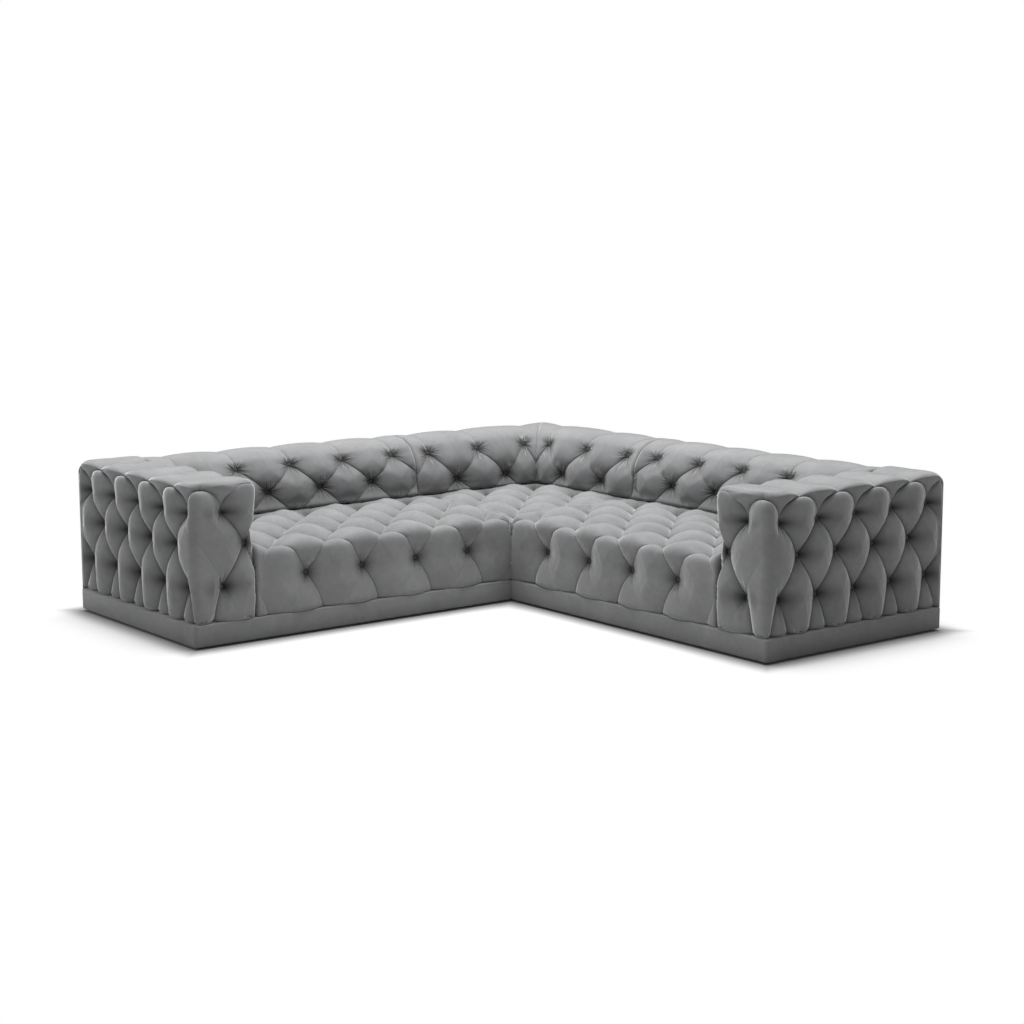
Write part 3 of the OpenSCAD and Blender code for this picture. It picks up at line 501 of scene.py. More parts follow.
def back_surface(u, v, a, b, first, pitch, high, mitred):
    row = v - (corner_sink * smooth_step(1 - np.abs(v) / 1.5) if mitred else 0)
    y, z, share = on_back(row, "y"), on_back(row, "z"), on_back(row, "share")
    pull = np.radians(on_back(row, "pull"))
    ny, nz = -np.cos(pull), np.sin(pull)
    du, dv = nearest_button(u, np.minimum(v, upper_row))
    dx, dy = du * pitch, (dv + np.maximum(v - upper_row, 0)) * back_row
    rise = pillow(a, b) ** (1 - 0.4 * ramp(v, 1, 0.4))
    crease = back_crease * share + valley * ramp(v, 0.55, 0.6) * ramp(v, 3.4, -1.9)
    depth = crease * (1 - rise) - back_proud * np.maximum(share, 0.6) * rise
    pit = mixed(lower_pit, upper_pit, smooth_step(v)) * funnel(dx, dy)
    pit = pit + back_gather_height * gathers(u, v, du, dv, dx, dy)
    depth = depth + pit * ramp(v, -0.8, 0.45)
    x = along_back(u, first, pitch, mitred)
    depth = depth * edge_fade(x, slip - beyond_joint, high + beyond_joint, joint_fade)
    depth = depth + edge_drop(x - slip, joint_round)
    depth = depth + edge_drop(high - x, mitre_round if mitred else arm_joint_round)
    depth = depth * ramp(v, fine_v[-1], -0.1)
    y_out, z_out = y - ny * depth, z - nz * depth
    if mitred:
        x = x + mitre_shift(x, y_out, high)
    else:
        x = x + arm_overrun * ramp(x, high - 60, 60) * ramp(z, 655, 40)
    return np.stack([x, y_out, z_out], -1), ny, nz, depth


def back_cover(name, group, place, first, pitch, high, mitred):
    end = 1 + (high - first - pitch) / mitre_pitch if mitred else (high - first) / pitch
    u, v, u2, v2, a, b = lattice_grid(((slip - first) / pitch, end), (fine_v[0], fine_v[-1]), 1, (0.12, 0.12))
    face, _, _, depth = back_surface(u2, v2, a, b, first, pitch, high, mitred)
    lead = lining_columns(along_back(u[:, 0], first, pitch, mitred), back_lining)
    if mitred:
        lead[..., 0] += mitre_shift(lead[..., 0], lead[..., 1], high)
    for row in (0, 1):
        for k in range(-1, 6):
            at = k + row / 2
            if first + at * pitch > joint_margin and at < end - 0.15:
                point, ny, nz, _ = at_place(back_surface, at, row, first, pitch, high, mitred)
                keep_button(group, place, point, (0, ny, nz))
    lattice = lattice_of(u2, np.minimum(v2, upper_row), pitch, back_row, 1.0, np.maximum(v2 - upper_row, 0))
    hollow = painted_shade_of(depth, lattice, 38, 26)
    column_pad(name, lead, face, u, v, lattice, hollow, place)


back_pitch, back_first_button = 300.0, 116.0
corner_pitch, corner_first_button = 317.0, 107.0
for side, place in sides.items():
    back_cover(side + "_back_cover", side + "_back_buttons", place, back_first_button + back_pitch / 2,
               back_pitch, seat_end - slip, False)
for side, place in (("right", corner_right_place), ("left", corner_left_place)):
    back_cover("corner_back_cover_" + side, "corner_back_buttons", place,
               corner_first_button + corner_pitch / 2, corner_pitch, back_front - slip, True)

# %% [markdown]
# ## Arm covers
# An arm is wrapped from the rear of one side, round its front, to the rear of the other side, so its
# lattice is counted along that path. Over the top, the pleats of the two sides meet and one pleat
# crosses straight over. No button sits on the outer front edge, where a tall pillow wraps the corner.

# %% Arm path and rows
arm_pitch, arm_row = 231.0, 167.0
arm_edge = 30.0
arm_half = (arm_outer - seat_end) / 2
arm_mid = seat_end + arm_half
arm_flat = arm_half - arm_edge
arm_bend = arm_edge * math.pi / 2
arm_reach = arm_flat + arm_bend + panel_front - body_front - arm_edge
arm_cap = 669.0
arm_wall = 46.0
arm_inside = arm_half - arm_wall


def arm_path(w):
    """Place x, y on the plan of the arm and outward direction, at w round its cover."""
    away, side = np.abs(w), np.sign(w)
    turn = np.clip((away - arm_flat) / arm_bend, 0, 1) * np.pi / 2
    x = np.where(away <= arm_flat, w, side * (arm_flat + arm_edge * np.sin(turn)))
    y = np.where(away <= arm_flat, 0, arm_edge * (1 - np.cos(turn)))
    y = y + np.clip(away - arm_flat - arm_bend, 0, None)
    return x, y, np.where(away <= arm_flat, 0, side * np.sin(turn)), -np.cos(turn)


arm_stations = np.array([
    # row, share of the way to the spine, height, tilt in degrees, share of the crease
    [-0.838, 0, 107, 0, 1], [2.0, 0, 581, 0, 1], [2.4, 0.0, 624, 2, 1], [2.7, 0.0, 662, 8, 1],
    [3.0, 0.045, 694, 40, 0.95], [3.15, 0.13, 704, 62, 0.9], [3.3, 0.26, 708, 78, 0.85],
    [3.55, 0.55, 709.5, 86, 0.8], [3.9, 1.0, 709.5, 90, 0.7]])
foot_row = -0.46


def on_arm(v, column):
    if column in (1, 2):
        return smooth_through(arm_stations[:, 0], arm_stations[:, column], v)
    return np.interp(v, arm_stations[:, 0], arm_stations[:, column])


# %% Arm cover
arm_crease, arm_pit = 30.0, 15.0
# Over the top, every point takes its button from row 3 or below.
top_row = 3


def arch_height(v):
    """Row at which a lattice row lies: from row 2 to row 3 the pleats rise steeply and meet in an arch,
    and below row 0 they open quickly and then run straight down."""
    over = 2 + np.sin(np.pi / 2 * np.clip(v - 2, 0, 1)) ** 0.42
    under = arm_stations[0, 0] * np.clip(v / foot_row, 0, 1) ** 1.6
    return np.where(v < 0, under, np.where((v > 2) & (v < 3), over, v))


def arm_buttoned(u, v):
    """1 where the nearest lattice place has a button, 0 at the plain places."""
    du, dv = nearest_button(u, np.minimum(v, top_row))
    column, row = u - du, np.minimum(v, top_row) - dv
    missing = (np.abs(row - 1) < 0.5) & (np.abs(column - 0.5) < 0.25)
    return ((row > -0.5) & (row < 2.5) & ~missing) * 1.0


def arm_surface(u, v, a, b):
    w = u * arm_pitch
    x, y, nx, ny = arm_path(w)
    row = arch_height(v)
    share, z = np.clip(on_arm(row, 1), 0, 1), on_arm(row, 2)
    tilt, crease_share = np.radians(on_arm(row, 3)), on_arm(row, 4)
    near_a, near_b = np.abs(a - 1) < 0.5, np.abs(b) < 0.5
    gone_a = near_a * ramp(np.abs(b), 1, -0.4)
    gone_b = near_b * ramp(np.abs(a - 1), 1, -0.4)
    # the front's inner pillow runs over the top and down to the plinth without a pleat
    gone_a = np.maximum(gone_a, near_a * ramp(b, -1.08, -0.35))
    gone_b = np.maximum(gone_b, (np.abs(b + 2) < 0.5) * ramp(a, 0.1, 0.35))
    gone_b = np.maximum(gone_b, near_b * ramp(a, -0.04, -0.2) * (v < 0.5))
    plain_top = ramp(np.abs(w), 250, -100) * ramp(row, 2.95, 0.3)
    rise = pillow(a, b, 1 - 0.92 * gone_a, 1 - 0.92 * gone_b) ** (1 - 0.45 * ramp(v, 2.9, 0.2))
    rise = mixed(rise, 1, plain_top)
    du, dv = nearest_button(u, np.minimum(v, top_row))
    dx, dy = du * arm_pitch, (dv + row - v) * arm_row
    pillar_side = 1 - 0.75 * smooth_step(np.minimum(u, 1 - u) / 0.07)
    pit = arm_pit * funnel(dx, dy) * pillar_side + gather_height * gathers(u, v, du, dv, dx, dy)
    depth = crease_share * (arm_crease * (1 - rise) - proud * rise) + pit * arm_buttoned(u, v)
    # inside the sofa the cover is plain where the pads meet the arm
    inside = w < -arm_flat - arm_bend
    beside_back = ramp(y, back_front - body_front - 20, 25) * (v < 2.2)
    plain = inside * np.maximum(ramp(z, 445, -25), beside_back)
    behind = inside * (v >= 2.2) * (1 - smooth_step(share * 4)) * ramp(y, 810, 40)
    depth = depth * (1 - plain) * (1 - behind) * edge_fade(w, -arm_reach - 10, arm_reach + 10, 50.0)
    depth = depth + edge_drop(arm_reach - np.abs(w), 12.0) * ramp(z, 640, 50)
    depth = depth + edge_drop(z - plinth_top, foot_round)
    depth = np.where((share > 0.999) & (y <= arm_half), 0, depth)
    px, py = x * (1 - share), mixed(y, np.maximum(y, arm_half), share)
    out = np.stack([nx * np.cos(tilt), ny * np.cos(tilt), np.sin(tilt)], -1)
    point = np.stack([arm_mid + px, body_front + py, z], -1) - out * np.asarray(depth)[..., None]
    return point, out, plain, depth


def arm_cover(side, place):
    reach_u = arm_reach / arm_pitch
    v_ends = foot_row, arm_stations[-1, 0]
    u, v, u2, v2, a, b = lattice_grid((-reach_u, reach_u), v_ends, top_row, (0.12, 0.2))
    face, _, _, depth = arm_surface(u2, v2, a, b)
    face[:, -1, 0] = arm_mid
    x, y, _, _ = arm_path(u[:, 0] * arm_pitch)
    y = body_front + np.maximum(y, arm_wall)
    lead = lining_columns(arm_mid + np.clip(x, -arm_inside, arm_inside), ((y, arm_cap), (y, plinth_top)))
    columns = np.concatenate([lead, face], 1)
    m, n = columns.shape[:2]
    columns[-1 - np.arange(m // 2), -1] = columns[np.arange(m // 2), -1]
    faces = grid_faces(m, n, u, v, 2, False).tolist()
    faces += [[n * i, n * (i + 1), n * (m - 2 - i), n * (m - 1 - i)] for i in range(m // 2)]
    last = (m - 1) * n
    faces.append([j for j in range(1, n)] + [last + j for j in range(n - 2, -1, -1)] + [0])
    for row in range(top_row):
        for k in range(-6, 7):
            at = k + 0.5 * (row % 2)
            if abs(at) * arm_pitch > arm_reach - 24 or (row == 1 and k == 0):
                continue
            point, out, plain, _ = at_place(arm_surface, at, row)
            if plain < 0.5:
                keep_button(side + "_arm_buttons", place, point, out)
    low_v, present = np.minimum(v2, top_row), arm_buttoned(u2, v2)
    lattice = lattice_of(u2, low_v, arm_pitch, arm_row, 0.25 * present, arch_height(v2) - low_v)
    # The painted shade reaches 76 mm along the row on the side of each button away from the arm's front, and
    # 24 mm on the other side.
    rearwards = nearest_button(u2, low_v)[0] * np.sign(u2 * arm_pitch - 60) > 0
    hollow = painted_shade_of(depth, lattice, np.where(rearwards, 76, 24), 28, present)
    finish_piece(side + "_arm_cover", columns, faces, lattice, hollow, place)


for side, place in sides.items():
    arm_cover(side, place)

# %% [markdown]
# ## The corner's seat cover
# Its buttons lie on a square lattice set across the diagonal, so both arm modules' rows run into it.

# %% Corner seat cover
corner_low, corner_high = slip, seat_rear - slip
corner_dip = 22.0


def corner_seat_surface(u, v, a, b):
    x, y = seat_first_row + u * 2 * seat_row, seat_first_row + v * seat_row
    d = np.maximum(x, y)
    near_edge = np.hypot(x, y) - body_front
    roll = np.where(near_edge < seat_edge,
                    seat_wall + np.sqrt(np.clip(seat_edge ** 2 - (seat_edge - near_edge) ** 2, 0, None)),
                    seat_front_height)
    over = np.clip((d - seat_first_row) / seat_run, 0, 1)
    z = np.maximum(roll, seat_front_height - corner_dip) + seat_dome * np.sin(np.pi * over)
    du, dv = nearest_button(u, v)
    dx, dy = du * 2 * seat_row, dv * seat_row
    depth = seat_crease - (seat_crease + proud) * pillow(a, b, share=seat_share) + seat_pit * funnel(dx, dy)
    depth = depth + gather_height * gathers(u, v, du, dv, dx, dy)
    near = np.minimum(x, y) - corner_low
    depth = depth * ramp(near, -beyond_joint, joint_fade) * pressed_flat(d)
    depth = depth + edge_drop(near, seat_joint_round) + edge_drop(corner_high - d, seat_rear_round)
    return np.stack([x, y, z - depth], -1), depth


def corner_seat_cover():
    ends = [(c - seat_first_row) / (2 * seat_row) for c in (corner_low, corner_high)]
    u, v, u2, v2, a, b = lattice_grid(ends, [2 * end for end in ends], all_rows, (0.06, 0.12))
    face, depth = corner_seat_surface(u2, v2, a, b)
    lead = lining_columns(face[:, 0, 0], ((corner_high, deck_height), (corner_low, deck_height)))
    for i in range(5):
        for j in range(5):
            if (i + j) % 2 == 0 and max(i, j) * seat_row + seat_first_row < seat_rear - rear_margin:
                point, _ = at_place(corner_seat_surface, i / 2, j)
                keep_button("corner_seat_buttons", corner_right_place, point, (0, 0, 1))
    lattice = lattice_of(u2, v2, 2 * seat_row, seat_row, 0.15)
    hollow = painted_shade_of(depth, lattice, 34, 24, 0.45)
    column_pad("corner_seat_cover", lead, face, u, v, lattice, hollow, corner_right_place)


corner_seat_cover()

# %% [markdown]
# ## Plinths
# Each module stands on a base of boards wrapped in velvet, so its edges are soft. It is modelled as a
# block with rounded outer corners, hollowed from below, with a ledger left inside for the seat frame
# and a block over every glide.

# %% Helpers for hard pieces
smooth_angle = math.radians(35)


def stand(piece, place):
    """Stands a piece drawn in a module's own frame where that module has it."""
    corner = place(np.zeros(3))
    axes = [place(axis * 1.0) - corner for axis in np.eye(3)]
    turn = Matrix(np.array(axes).T.tolist()).to_4x4()
    piece.data.transform(Matrix.Translation(Vector(corner) * MM) @ turn)
    if turn.determinant() < 0:
        piece.data.flip_normals()


def select_only(*pieces):
    bpy.ops.object.select_all(action="DESELECT")
    for piece in pieces:
        piece.select_set(True)
    bpy.context.view_layer.objects.active = pieces[0]


def edit_parts(piece, kind, wanted):
    """Opens a piece for editing, with those of its edges or faces selected that pass a test."""
    select_only(piece)
    bpy.ops.object.mode_set(mode="EDIT")
    bpy.ops.mesh.select_mode(type=kind)
    bpy.ops.mesh.select_all(action="DESELECT")
    bpy.ops.object.mode_set(mode="OBJECT")
    for part in piece.data.edges if kind == "EDGE" else piece.data.polygons:
        part.select = wanted(part)
    bpy.ops.object.mode_set(mode="EDIT")


def add_box(name, low, high):
    bpy.ops.mesh.primitive_cube_add(size=1, location=[(a + b) / 2 * MM for a, b in zip(low, high)])
    box = bpy.context.object
    box.name = box.data.name = name
    box.scale = [(b - a) * MM for a, b in zip(low, high)]
    bpy.ops.object.transform_apply(location=True, rotation=True, scale=True)
    return box


def bevel_edges(piece, wanted, width, segments):
    """Rounds the edges whose two ends together pass a test."""
    ends = [vertex.co / MM for vertex in piece.data.vertices]
    edit_parts(piece, "EDGE", lambda edge: wanted(*(ends[k] for k in edge.vertices)))
    bpy.ops.mesh.bevel(offset=width * MM, segments=segments, affect="EDGES")
    bpy.ops.object.mode_set(mode="OBJECT")


def combine(piece, other, operation):
    mix = piece.modifiers.new("mix", "BOOLEAN")
    mix.object, mix.operation, mix.solver = other, operation, "EXACT"
    bpy.context.view_layer.objects.active = piece
    bpy.ops.object.modifier_apply(modifier=mix.name)
    bpy.data.objects.remove(other)


def keep_hard(name, piece, place):
    """Smooths a hard piece, stands it in its module and keeps it."""
    select_only(piece)
    bpy.ops.object.shade_smooth_by_angle(angle=smooth_angle)
    stand(piece, place)
    made_pieces[name] = piece
    print(name, "faces", len(piece.data.polygons))


# %% Model the plinths
plinth_board, plinth_corner, plinth_edge = 22.0, 16.0, 7.0
ledger_width, ledger_thick = 124.0, 20.0
glide_inset, glide_block = 40.0, 24.0
cut_past = 30.0


def model_plinth(name, place, length, near, both, glide_xs):
    block = add_box(name, (slip, near, plinth_base), (length, module_depth, plinth_top))

    def corner_edge(p, q):
        upright = abs(p.z - q.z) > 20 and abs(p.x - length) < 1 and abs(q.x - length) < 1
        return upright and (both or p.y > module_depth / 2)

    bevel_edges(block, corner_edge, plinth_corner, 6)
    bevel_edges(block, lambda p, q: abs(p.z - q.z) < 1, plinth_edge, 4)
    for wall, top in ((plinth_board, plinth_top - ledger_thick), (ledger_width, plinth_top + cut_past)):
        combine(block, add_box("cutter", (slip + wall, near + wall, plinth_base - cut_past),
                               (length - wall, module_depth - wall, top)), "DIFFERENCE")
    for x in glide_xs:
        for y in (glide_inset, module_depth - glide_inset):
            combine(block, add_box("foot", (x - glide_block, y - glide_block, plinth_base), (
                x + glide_block, y + glide_block, plinth_top - ledger_thick / 2)), "UNION")
    keep_hard(name, block, place)


wing_glides = (glide_inset, wing_length / 2, wing_length - glide_inset)
model_plinth("right_plinth_wrapped", right_place, wing_length, 0, True, wing_glides)
model_plinth("left_plinth_wrapped", left_place, wing_length, 0, True, wing_glides)
model_plinth("corner_plinth_wrapped", corner_right_place, module_depth, slip, False,
             (glide_inset, module_depth - glide_inset))

# %% [markdown]
# ## Outside backs
# The rear is closed by a covered board. Behind an arm it rises to the arm's height and follows its round
# shoulder, so the arm's cover runs on into it without a step.

# %% Model the outside backs
panel_edge = 9.0
shoulder = 38.0
shoulder_height = 698.0


def model_outside_back(name, place, low, high, arm_from=None):
    if arm_from:
        board = add_box(name, (arm_from, panel_front, plinth_top), (high, panel_rear, shoulder_height))
        bevel_edges(board, lambda p, q: min(p.z, q.z) > shoulder_height - 3 and min(p.x, q.x) > high - 1,
                    shoulder, 8)
        # drawn out from its end face, first down a slope to the back's height and then along the back
        for x, drop in ((arm_from - 22, shoulder_height - rear_edge_height), (low, 0.0)):
            end_x = min(face.center.x for face in board.data.polygons)
            edit_parts(board, "FACE", lambda face: face.center.x < end_x + MM / 10)
            bpy.ops.mesh.extrude_region_move(TRANSFORM_OT_translate={"value": (x * MM - end_x, 0, 0)})
            bpy.ops.object.mode_set(mode="OBJECT")
            for vertex in board.data.vertices:
                if vertex.select and vertex.co.z > rear_edge_height * MM:
                    vertex.co.z -= drop * MM
    else:
        board = add_box(name, (low, panel_front, plinth_top), (high, panel_rear, rear_edge_height))
    bevel_edges(board, lambda p, q: min(p.y, q.y) > panel_rear - 1 and max(p.z, q.z) > plinth_top + 1
                and (abs(p.z - q.z) < 30 or min(p.x, q.x) > high - 1), panel_edge, 5)
    keep_hard(name, board, place)


for side, place in sides.items():
    model_outside_back(side + "_outside_back_board", place, slip, arm_outer, seat_end + 4)
model_outside_back("corner_outside_back_board_right", corner_right_place, slip, panel_rear)
model_outside_back("corner_outside_back_board_left", corner_left_place, slip, panel_front)

# %% [markdown]
# ## Covered buttons
# A self-covered button is a shallow dome of velvet with a turned rim, pulled to the bottom of its pit.
# One is modelled by hand: a low cylinder, its top inset and raised twice, then smoothed. Every other
# button is a copy of it, stood on its own place and turned to the cover's direction there.

# %% Model one button
button_radius, button_rise = 0.0115, 0.006
bpy.ops.mesh.primitive_cylinder_add(vertices=20, radius=button_radius, depth=button_rise)
first_button = bpy.context.object
first_button.name = "covered_button"
edit_parts(first_button, "FACE", lambda face: face.normal.z > 0.9)
for rise in (0.0018, 0.0010):
    bpy.ops.mesh.inset(thickness=button_radius / 3)
    bpy.ops.transform.translate(value=(0, 0, rise))
bpy.ops.object.mode_set(mode="OBJECT")
rounding = first_button.modifiers.new("rounding", "SUBSURF")
rounding.levels = rounding.render_levels = 1
bpy.ops.object.modifier_apply(modifier=rounding.name)
bpy.ops.object.shade_smooth()
print("button faces", len(first_button.data.polygons))

# %% Copy it to every place
button_lift = 0.0015


def place_buttons(group, spots):
    copies = []
    for point, normal in spots:
        copy = first_button.copy()
        copy.data = first_button.data.copy()
        scene.collection.objects.link(copy)
        outward = Vector(normal).normalized()
        copy.matrix_world = (Matrix.Translation(Vector(point) * MM + outward * button_lift)
                             @ outward.to_track_quat("Z", "Y").to_matrix().to_4x4())
        copies.append(copy)
    select_only(*copies)
    bpy.ops.object.join()
    joined = bpy.context.object
    bpy.ops.object.transform_apply(location=True, rotation=True, scale=True)
    joined.name = joined.data.name = "covered_" + group
    made_pieces[joined.name] = joined
    print(joined.name, "buttons", len(copies))


for group, spots in button_spots.items():
    place_buttons(group, spots)
bpy.data.objects.remove(first_button)

# %% Ride and replace
# A piece is named after the node that it stands for. The seat covers of the arm modules stand for two.
for name, piece in made_pieces.items():
    node = name.removeprefix("covered_").replace("_wrapped", "").replace("_board", "")
    stood_for = [node.replace("cover", "pad")]
    if name in ("right_seat_cover", "left_seat_cover"):
        stood_for.append(name.replace("seat_cover", "front_pad"))
    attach(piece, "root")
    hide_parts(*stood_for)

# %% [markdown]
# ## Velvet
# Velvet is dark where you look into the pile and pale along its edges, which the sheen gives. Its nap
# lies unevenly, so large soft patches differ in tone. Down in the pits, and a little in the pleats, its
# colour and sheen are darkened as painted shade. The covers carry two attributes for this: one that gives
# how much shade is painted at a point, from how deep it lies and how near a button it is, and lattice, its
# place from the nearest button in millimetres, from which the folds that run into the button are drawn.

# %% Node helpers
SHADER = "Principled BSDF"


def new_material(name):
    material = bpy.data.materials.new(name)
    material.use_nodes = True
    return material, material.node_tree


def fill(node, tree, values):
    """Sets inputs of a node, each to a value or to the output of another node."""
    for key, value in values.items():
        if hasattr(value, "is_output"):
            tree.links.new(value, node.inputs[key])
        else:
            node.inputs[key].default_value = value


def add_node(tree, kind, values, output=0, **settings):
    """Adds a node and gives one of its outputs, or all of them where output is None."""
    node = tree.nodes.new("ShaderNode" + kind)
    for key, value in settings.items():
        setattr(node, key, value)
    fill(node, tree, values)
    return node.outputs if output is None else node.outputs[output]


def maths(tree, operation, *values):
    return add_node(tree, "Math", dict(enumerate(values)), operation=operation)


def ranged(tree, value, low, high, to_low, to_high, smooth=True):
    limits = {"Value": value, "From Min": low, "From Max": high, "To Min": to_low, "To Max": to_high}
    kind = "SMOOTHSTEP" if smooth else "LINEAR"
    return add_node(tree, "MapRange", limits, "Result", interpolation_type=kind)


def object_place(tree):
    return add_node(tree, "TexCoord", {}, "Object")


def noise(tree, place, scale, detail=3.0, distortion=0.0):
    look = {"Vector": place, "Scale": scale, "Detail": detail, "Distortion": distortion}
    return add_node(tree, "TexNoise", look, "Fac")


def bumped(tree, height, distance, **under):
    return add_node(tree, "Bump", {"Distance": distance, "Height": height, **under}, "Normal")


def grey(tree, tone):
    return add_node(tree, "CombineColor", {0: tone, 1: tone, 2: tone})


# %% Velvet material
velvet_tone = 0.17
velvet_tint = (0.99, 1.0, 1.015)
velvet_sheen = 1.0
deepest_painted_shade = 0.06


# The last argument darkens the velvet's tone and sheen as painted shade; 1 leaves the velvet as it is.
def make_velvet(name, buttoned, painted_shade_factor=1.0):
    material, tree = new_material(name)
    place = object_place(tree)
    patches = ranged(tree, noise(tree, place, 5.5, 2.0, 0.6), 0.3, 0.7, 0.93, 1.07)
    brushed = ranged(tree, noise(tree, place, 38.0, 3.0), 0.3, 0.7, 0.96, 1.04)
    fibre = noise(tree, place, 900.0, 2.0)
    tone = maths(tree, "MULTIPLY", patches, brushed)
    tone = maths(tree, "MULTIPLY", tone, ranged(tree, fibre, 0.25, 0.75, 0.94, 1.06))
    normal = bumped(tree, fibre, 0.0004)
    sheen = velvet_sheen * painted_shade_factor
    if buttoned:
        hollow = add_node(tree, "Attribute", {}, "Fac", attribute_name="hollow")
        lattice = add_node(tree, "Attribute", {}, "Vector", attribute_name="lattice")
        dx, dy, strength = add_node(tree, "SeparateXYZ", {0: lattice}, None)
        angle = maths(tree, "ARCTAN2", dy, dx)
        number = ranged(tree, noise(tree, place, 4.0, 1.0), 0.0, 1.0, 0.0, 18.0, False)
        waver = ranged(tree, noise(tree, place, 24.0, 2.0), 0.0, 1.0, -1.2, 1.2, False)
        waves = []
        for count, share, shift in ((13.0, 0.6, 0.0), (21.0, 0.4, 1.7)):
            turn = maths(tree, "MULTIPLY_ADD", angle, count, maths(tree, "ADD", number, shift))
            wave = maths(tree, "ABSOLUTE", maths(tree, "SINE", maths(tree, "ADD", turn, waver)))
            waves.append(maths(tree, "MULTIPLY", maths(tree, "POWER", wave, 0.6), share))
        folds = maths(tree, "MULTIPLY", maths(tree, "ADD", *waves), strength)
        normal = bumped(tree, folds, 0.008, Normal=normal)
        # Painted shade: tone and sheen are darkened where the cover's attribute gives painted shade, down to
        # the deepest painted shade in the pits.
        shade = ranged(tree, hollow, 0.0, 1.0, 1.0, deepest_painted_shade, False)
        tone = maths(tree, "MULTIPLY", tone, shade)
        sheen = maths(tree, "MULTIPLY", shade, velvet_sheen)
    tones = [maths(tree, "MULTIPLY", tone, velvet_tone * painted_shade_factor * share) for share in velvet_tint]
    fill(tree.nodes[SHADER], tree, {
        "Base Color": add_node(tree, "CombineColor", dict(enumerate(tones))), "Normal": normal,
        "Roughness": 0.85, "Specular IOR Level": 0.15, "Sheen Weight": sheen, "Sheen Roughness": 0.3})
    return material


velvet = make_velvet("grey_velvet", True)
plain_velvet = make_velvet("grey_velvet_plain", False)
# The buttons get the same velvet with painted shade: tone and sheen cut to 0.3, as they sit down in the shade
# of their pits.
shaded_button_velvet = make_velvet("grey_velvet_buttons", False, 0.3)


for name, piece in made_pieces.items():
    finish = shaded_button_velvet if name.endswith("buttons") else velvet if "cover" in name else plain_velvet
    piece.data.materials.clear()
    piece.data.materials.append(finish)
print("velvets:", velvet.name, plain_velvet.name, shaded_button_velvet.name)

# %% [markdown]
# ## What lies under the cover
# The frame is beech with its grain along the boards, the springs and joint hardware are steel, the back
# is carried by elastic webbing, a thin black cloth closes the underside, and it stands on plastic glides.

# %% Timber
timber, tree = new_material("beech")
place = object_place(tree)
grain = add_node(tree, "TexWave", {
    "Vector": place, "Scale": 14.0, "Distortion": 5.0, "Detail": 3.0, "Detail Scale": 1.6}, "Fac")
pores = noise(tree, place, 220.0, 4.0)
streaks = maths(tree, "MULTIPLY_ADD", pores, 0.3, maths(tree, "MULTIPLY", grain, 0.7))
wood = add_node(tree, "Mix", {
    "Factor": streaks, "A": (0.50, 0.33, 0.18, 1), "B": (0.64, 0.46, 0.28, 1)}, "Result", data_type="RGBA")
fill(tree.nodes[SHADER], tree, {
    "Base Color": wood, "Roughness": ranged(tree, pores, 0.2, 0.8, 0.5, 0.72),
    "Normal": bumped(tree, streaks, 0.0004)})

# %% Steel
steel, tree = new_material("spring_steel")
scuffs = noise(tree, object_place(tree), 60.0, 4.0)
fill(tree.nodes[SHADER], tree, {
    "Base Color": grey(tree, ranged(tree, scuffs, 0.25, 0.75, 0.46, 0.6)),
    "Roughness": ranged(tree, scuffs, 0.3, 0.7, 0.28, 0.48), "Metallic": 1.0})


# %% Webbing, cloth and plastic
def make_dark(name, tone, weave, roughness, depth):
    """A dark woven, felted or moulded finish: a fine pattern in its tone and its surface."""
    material, tree = new_material(name)
    place = object_place(tree)
    if weave:
        bands = add_node(tree, "TexChecker", {"Vector": place, "Scale": weave}, "Fac")
        pattern = maths(tree, "MULTIPLY", bands, ranged(tree, noise(tree, place, 90.0), 0, 1, 0.6, 1.0))
    else:
        pattern = noise(tree, place, 420.0, 4.0)
    fill(tree.nodes[SHADER], tree, {
        "Base Color": grey(tree, ranged(tree, pattern, 0.0, 1.0, tone * 0.7, tone * 1.3)),
        "Roughness": roughness, "Normal": bumped(tree, pattern, depth)})
    return material


webbing = make_dark("elastic_webbing", 0.05, 260.0, 0.8, 0.0006)
dust_cloth = make_dark("dust_cloth", 0.018, 0, 0.95, 0.0004)
glide_plastic = make_dark("glide_plastic", 0.02, 0, 0.45, 0.0001)

# %% Dress the frame
finishes = {
    "frame": timber, "boards": timber, "springs": steel, "clips": steel, "jaws": steel, "tongues": steel,
    "screws": steel, "webbing": webbing, "dust_cover": dust_cloth, "glides": glide_plastic,
}
for name, node in nodes.items():
    finish = next((finishes[word] for word in finishes if word in name), plain_velvet)
    for slot in node.material_slots:
        slot.material = finish
print("frame nodes dressed:", len(nodes))

# %% [markdown]
# ## The studio
# A white paper floor, white air behind it, one large softbox above and a little behind the sofa, so the
# tops are bright and the faces towards the camera are soft, and a small fill that lifts the left side.
# The paper is seen pure white away from the sofa. Close to it the paper is seen as the lamps make it,
# and its colour is darkened there into a painted contact shade that follows the sofa's L-shaped foot.

# %% Studio helper
def seen_directly(tree):
    """1 for what the camera sees, itself or in a reflection, and 0 for the light that falls on things."""
    rays = add_node(tree, "LightPath", {}, None)
    return maths(tree, "MAXIMUM", rays["Is Camera Ray"], rays["Is Glossy Ray"])


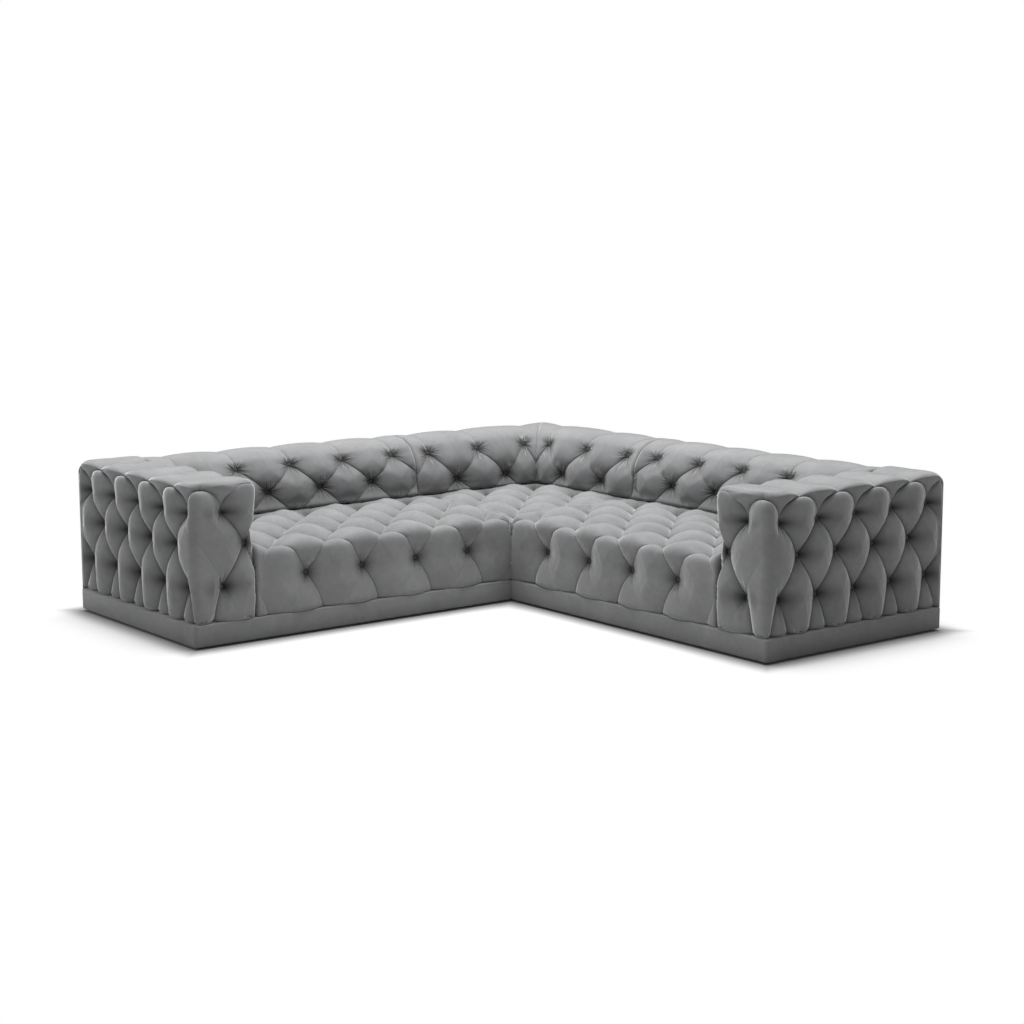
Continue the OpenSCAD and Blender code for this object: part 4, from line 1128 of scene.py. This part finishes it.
# %% Floor
paper_tone = 0.62
far_from, far_to, white_near = 1.2, 2.5, 0.96
contact_shadow = (-0.05, 0.34)
painted_contact_reach, painted_contact_tone = 0.13, 0.35
bpy.ops.mesh.primitive_plane_add(size=60, location=(0, 0, 0))
floor = bpy.context.object
floor.name = "floor"
paper, tree = new_material("white_paper")
place = object_place(tree)
far = add_node(tree, "VectorMath", {0: place}, "Value", operation="LENGTH")
white = maths(tree, "MULTIPLY", seen_directly(tree), ranged(tree, far, far_from, far_to, white_near, 1.0))
rectangles = []
for low, size in (((-half, half - module_depth), (2 * half, module_depth)),
                  ((-half, -half), (module_depth, 2 * half))):
    apart = []
    for part, start, length in zip(add_node(tree, "SeparateXYZ", {0: place}, None), low, size):
        centred = maths(tree, "SUBTRACT", part, (start + length / 2) * MM)
        apart.append(maths(tree, "SUBTRACT", maths(tree, "ABSOLUTE", centred), length / 2 * MM))
    rectangles.append(maths(tree, "MAXIMUM", *apart))
from_sofa = maths(tree, "MINIMUM", *rectangles)
white = maths(tree, "MULTIPLY", white, ranged(tree, from_sofa, *contact_shadow, 0.0, 1.0))
# Painted contact shade: the paper's colour darkens towards the sofa's foot, down to a share of its tone.
shade = ranged(tree, from_sofa, 0.0, painted_contact_reach, paper_tone * painted_contact_tone, paper_tone)
matt = add_node(tree, "BsdfDiffuse", {"Color": grey(tree, shade)})
surface = add_node(tree, "MixShader", {0: white, 1: matt, 2: add_node(tree, "Emission", {"Strength": 1.0})})
tree.nodes.remove(tree.nodes[SHADER])
fill(tree.nodes["Material Output"], tree, {"Surface": surface})
floor.data.materials.append(paper)

# %% World and lamps
white_light = (1, 1, 1, 1)
world = bpy.data.worlds.new("studio")
scene.world = world
world.use_nodes = True
tree = world.node_tree
air = tree.nodes["Background"]
fill(air, tree, {"Color": white_light, "Strength": 0.20})
bright = add_node(tree, "Background", {"Color": white_light, "Strength": 1.0})
surroundings = add_node(tree, "MixShader", {0: seen_directly(tree), 1: air.outputs[0], 2: bright})
fill(tree.nodes["World Output"], tree, {"Surface": surroundings})

for lamp_name, lamp_size, watts, lamp_place, aim in (
        ("softbox", 6.5, 1120.0, Vector((-0.7, 0.6, 6.0)), Vector((0, 0, 0))),
        ("left_fill", 2.5, 42.0, Vector((-3.0, -4.4, 1.9)), Vector((-1.0, -1.3, 0.3)))):
    lamp_data = bpy.data.lights.new(lamp_name, "AREA")
    lamp_data.shape = "RECTANGLE"
    lamp_data.size = lamp_data.size_y = lamp_size
    lamp_data.energy = watts
    lamp = bpy.data.objects.new(lamp_name, lamp_data)
    scene.collection.objects.link(lamp)
    turn = (lamp_place - aim).to_track_quat("Z", "Y").to_matrix().to_4x4()
    lamp.matrix_world = Matrix.Translation(lamp_place) @ turn
scene.view_settings.view_transform = "Standard"
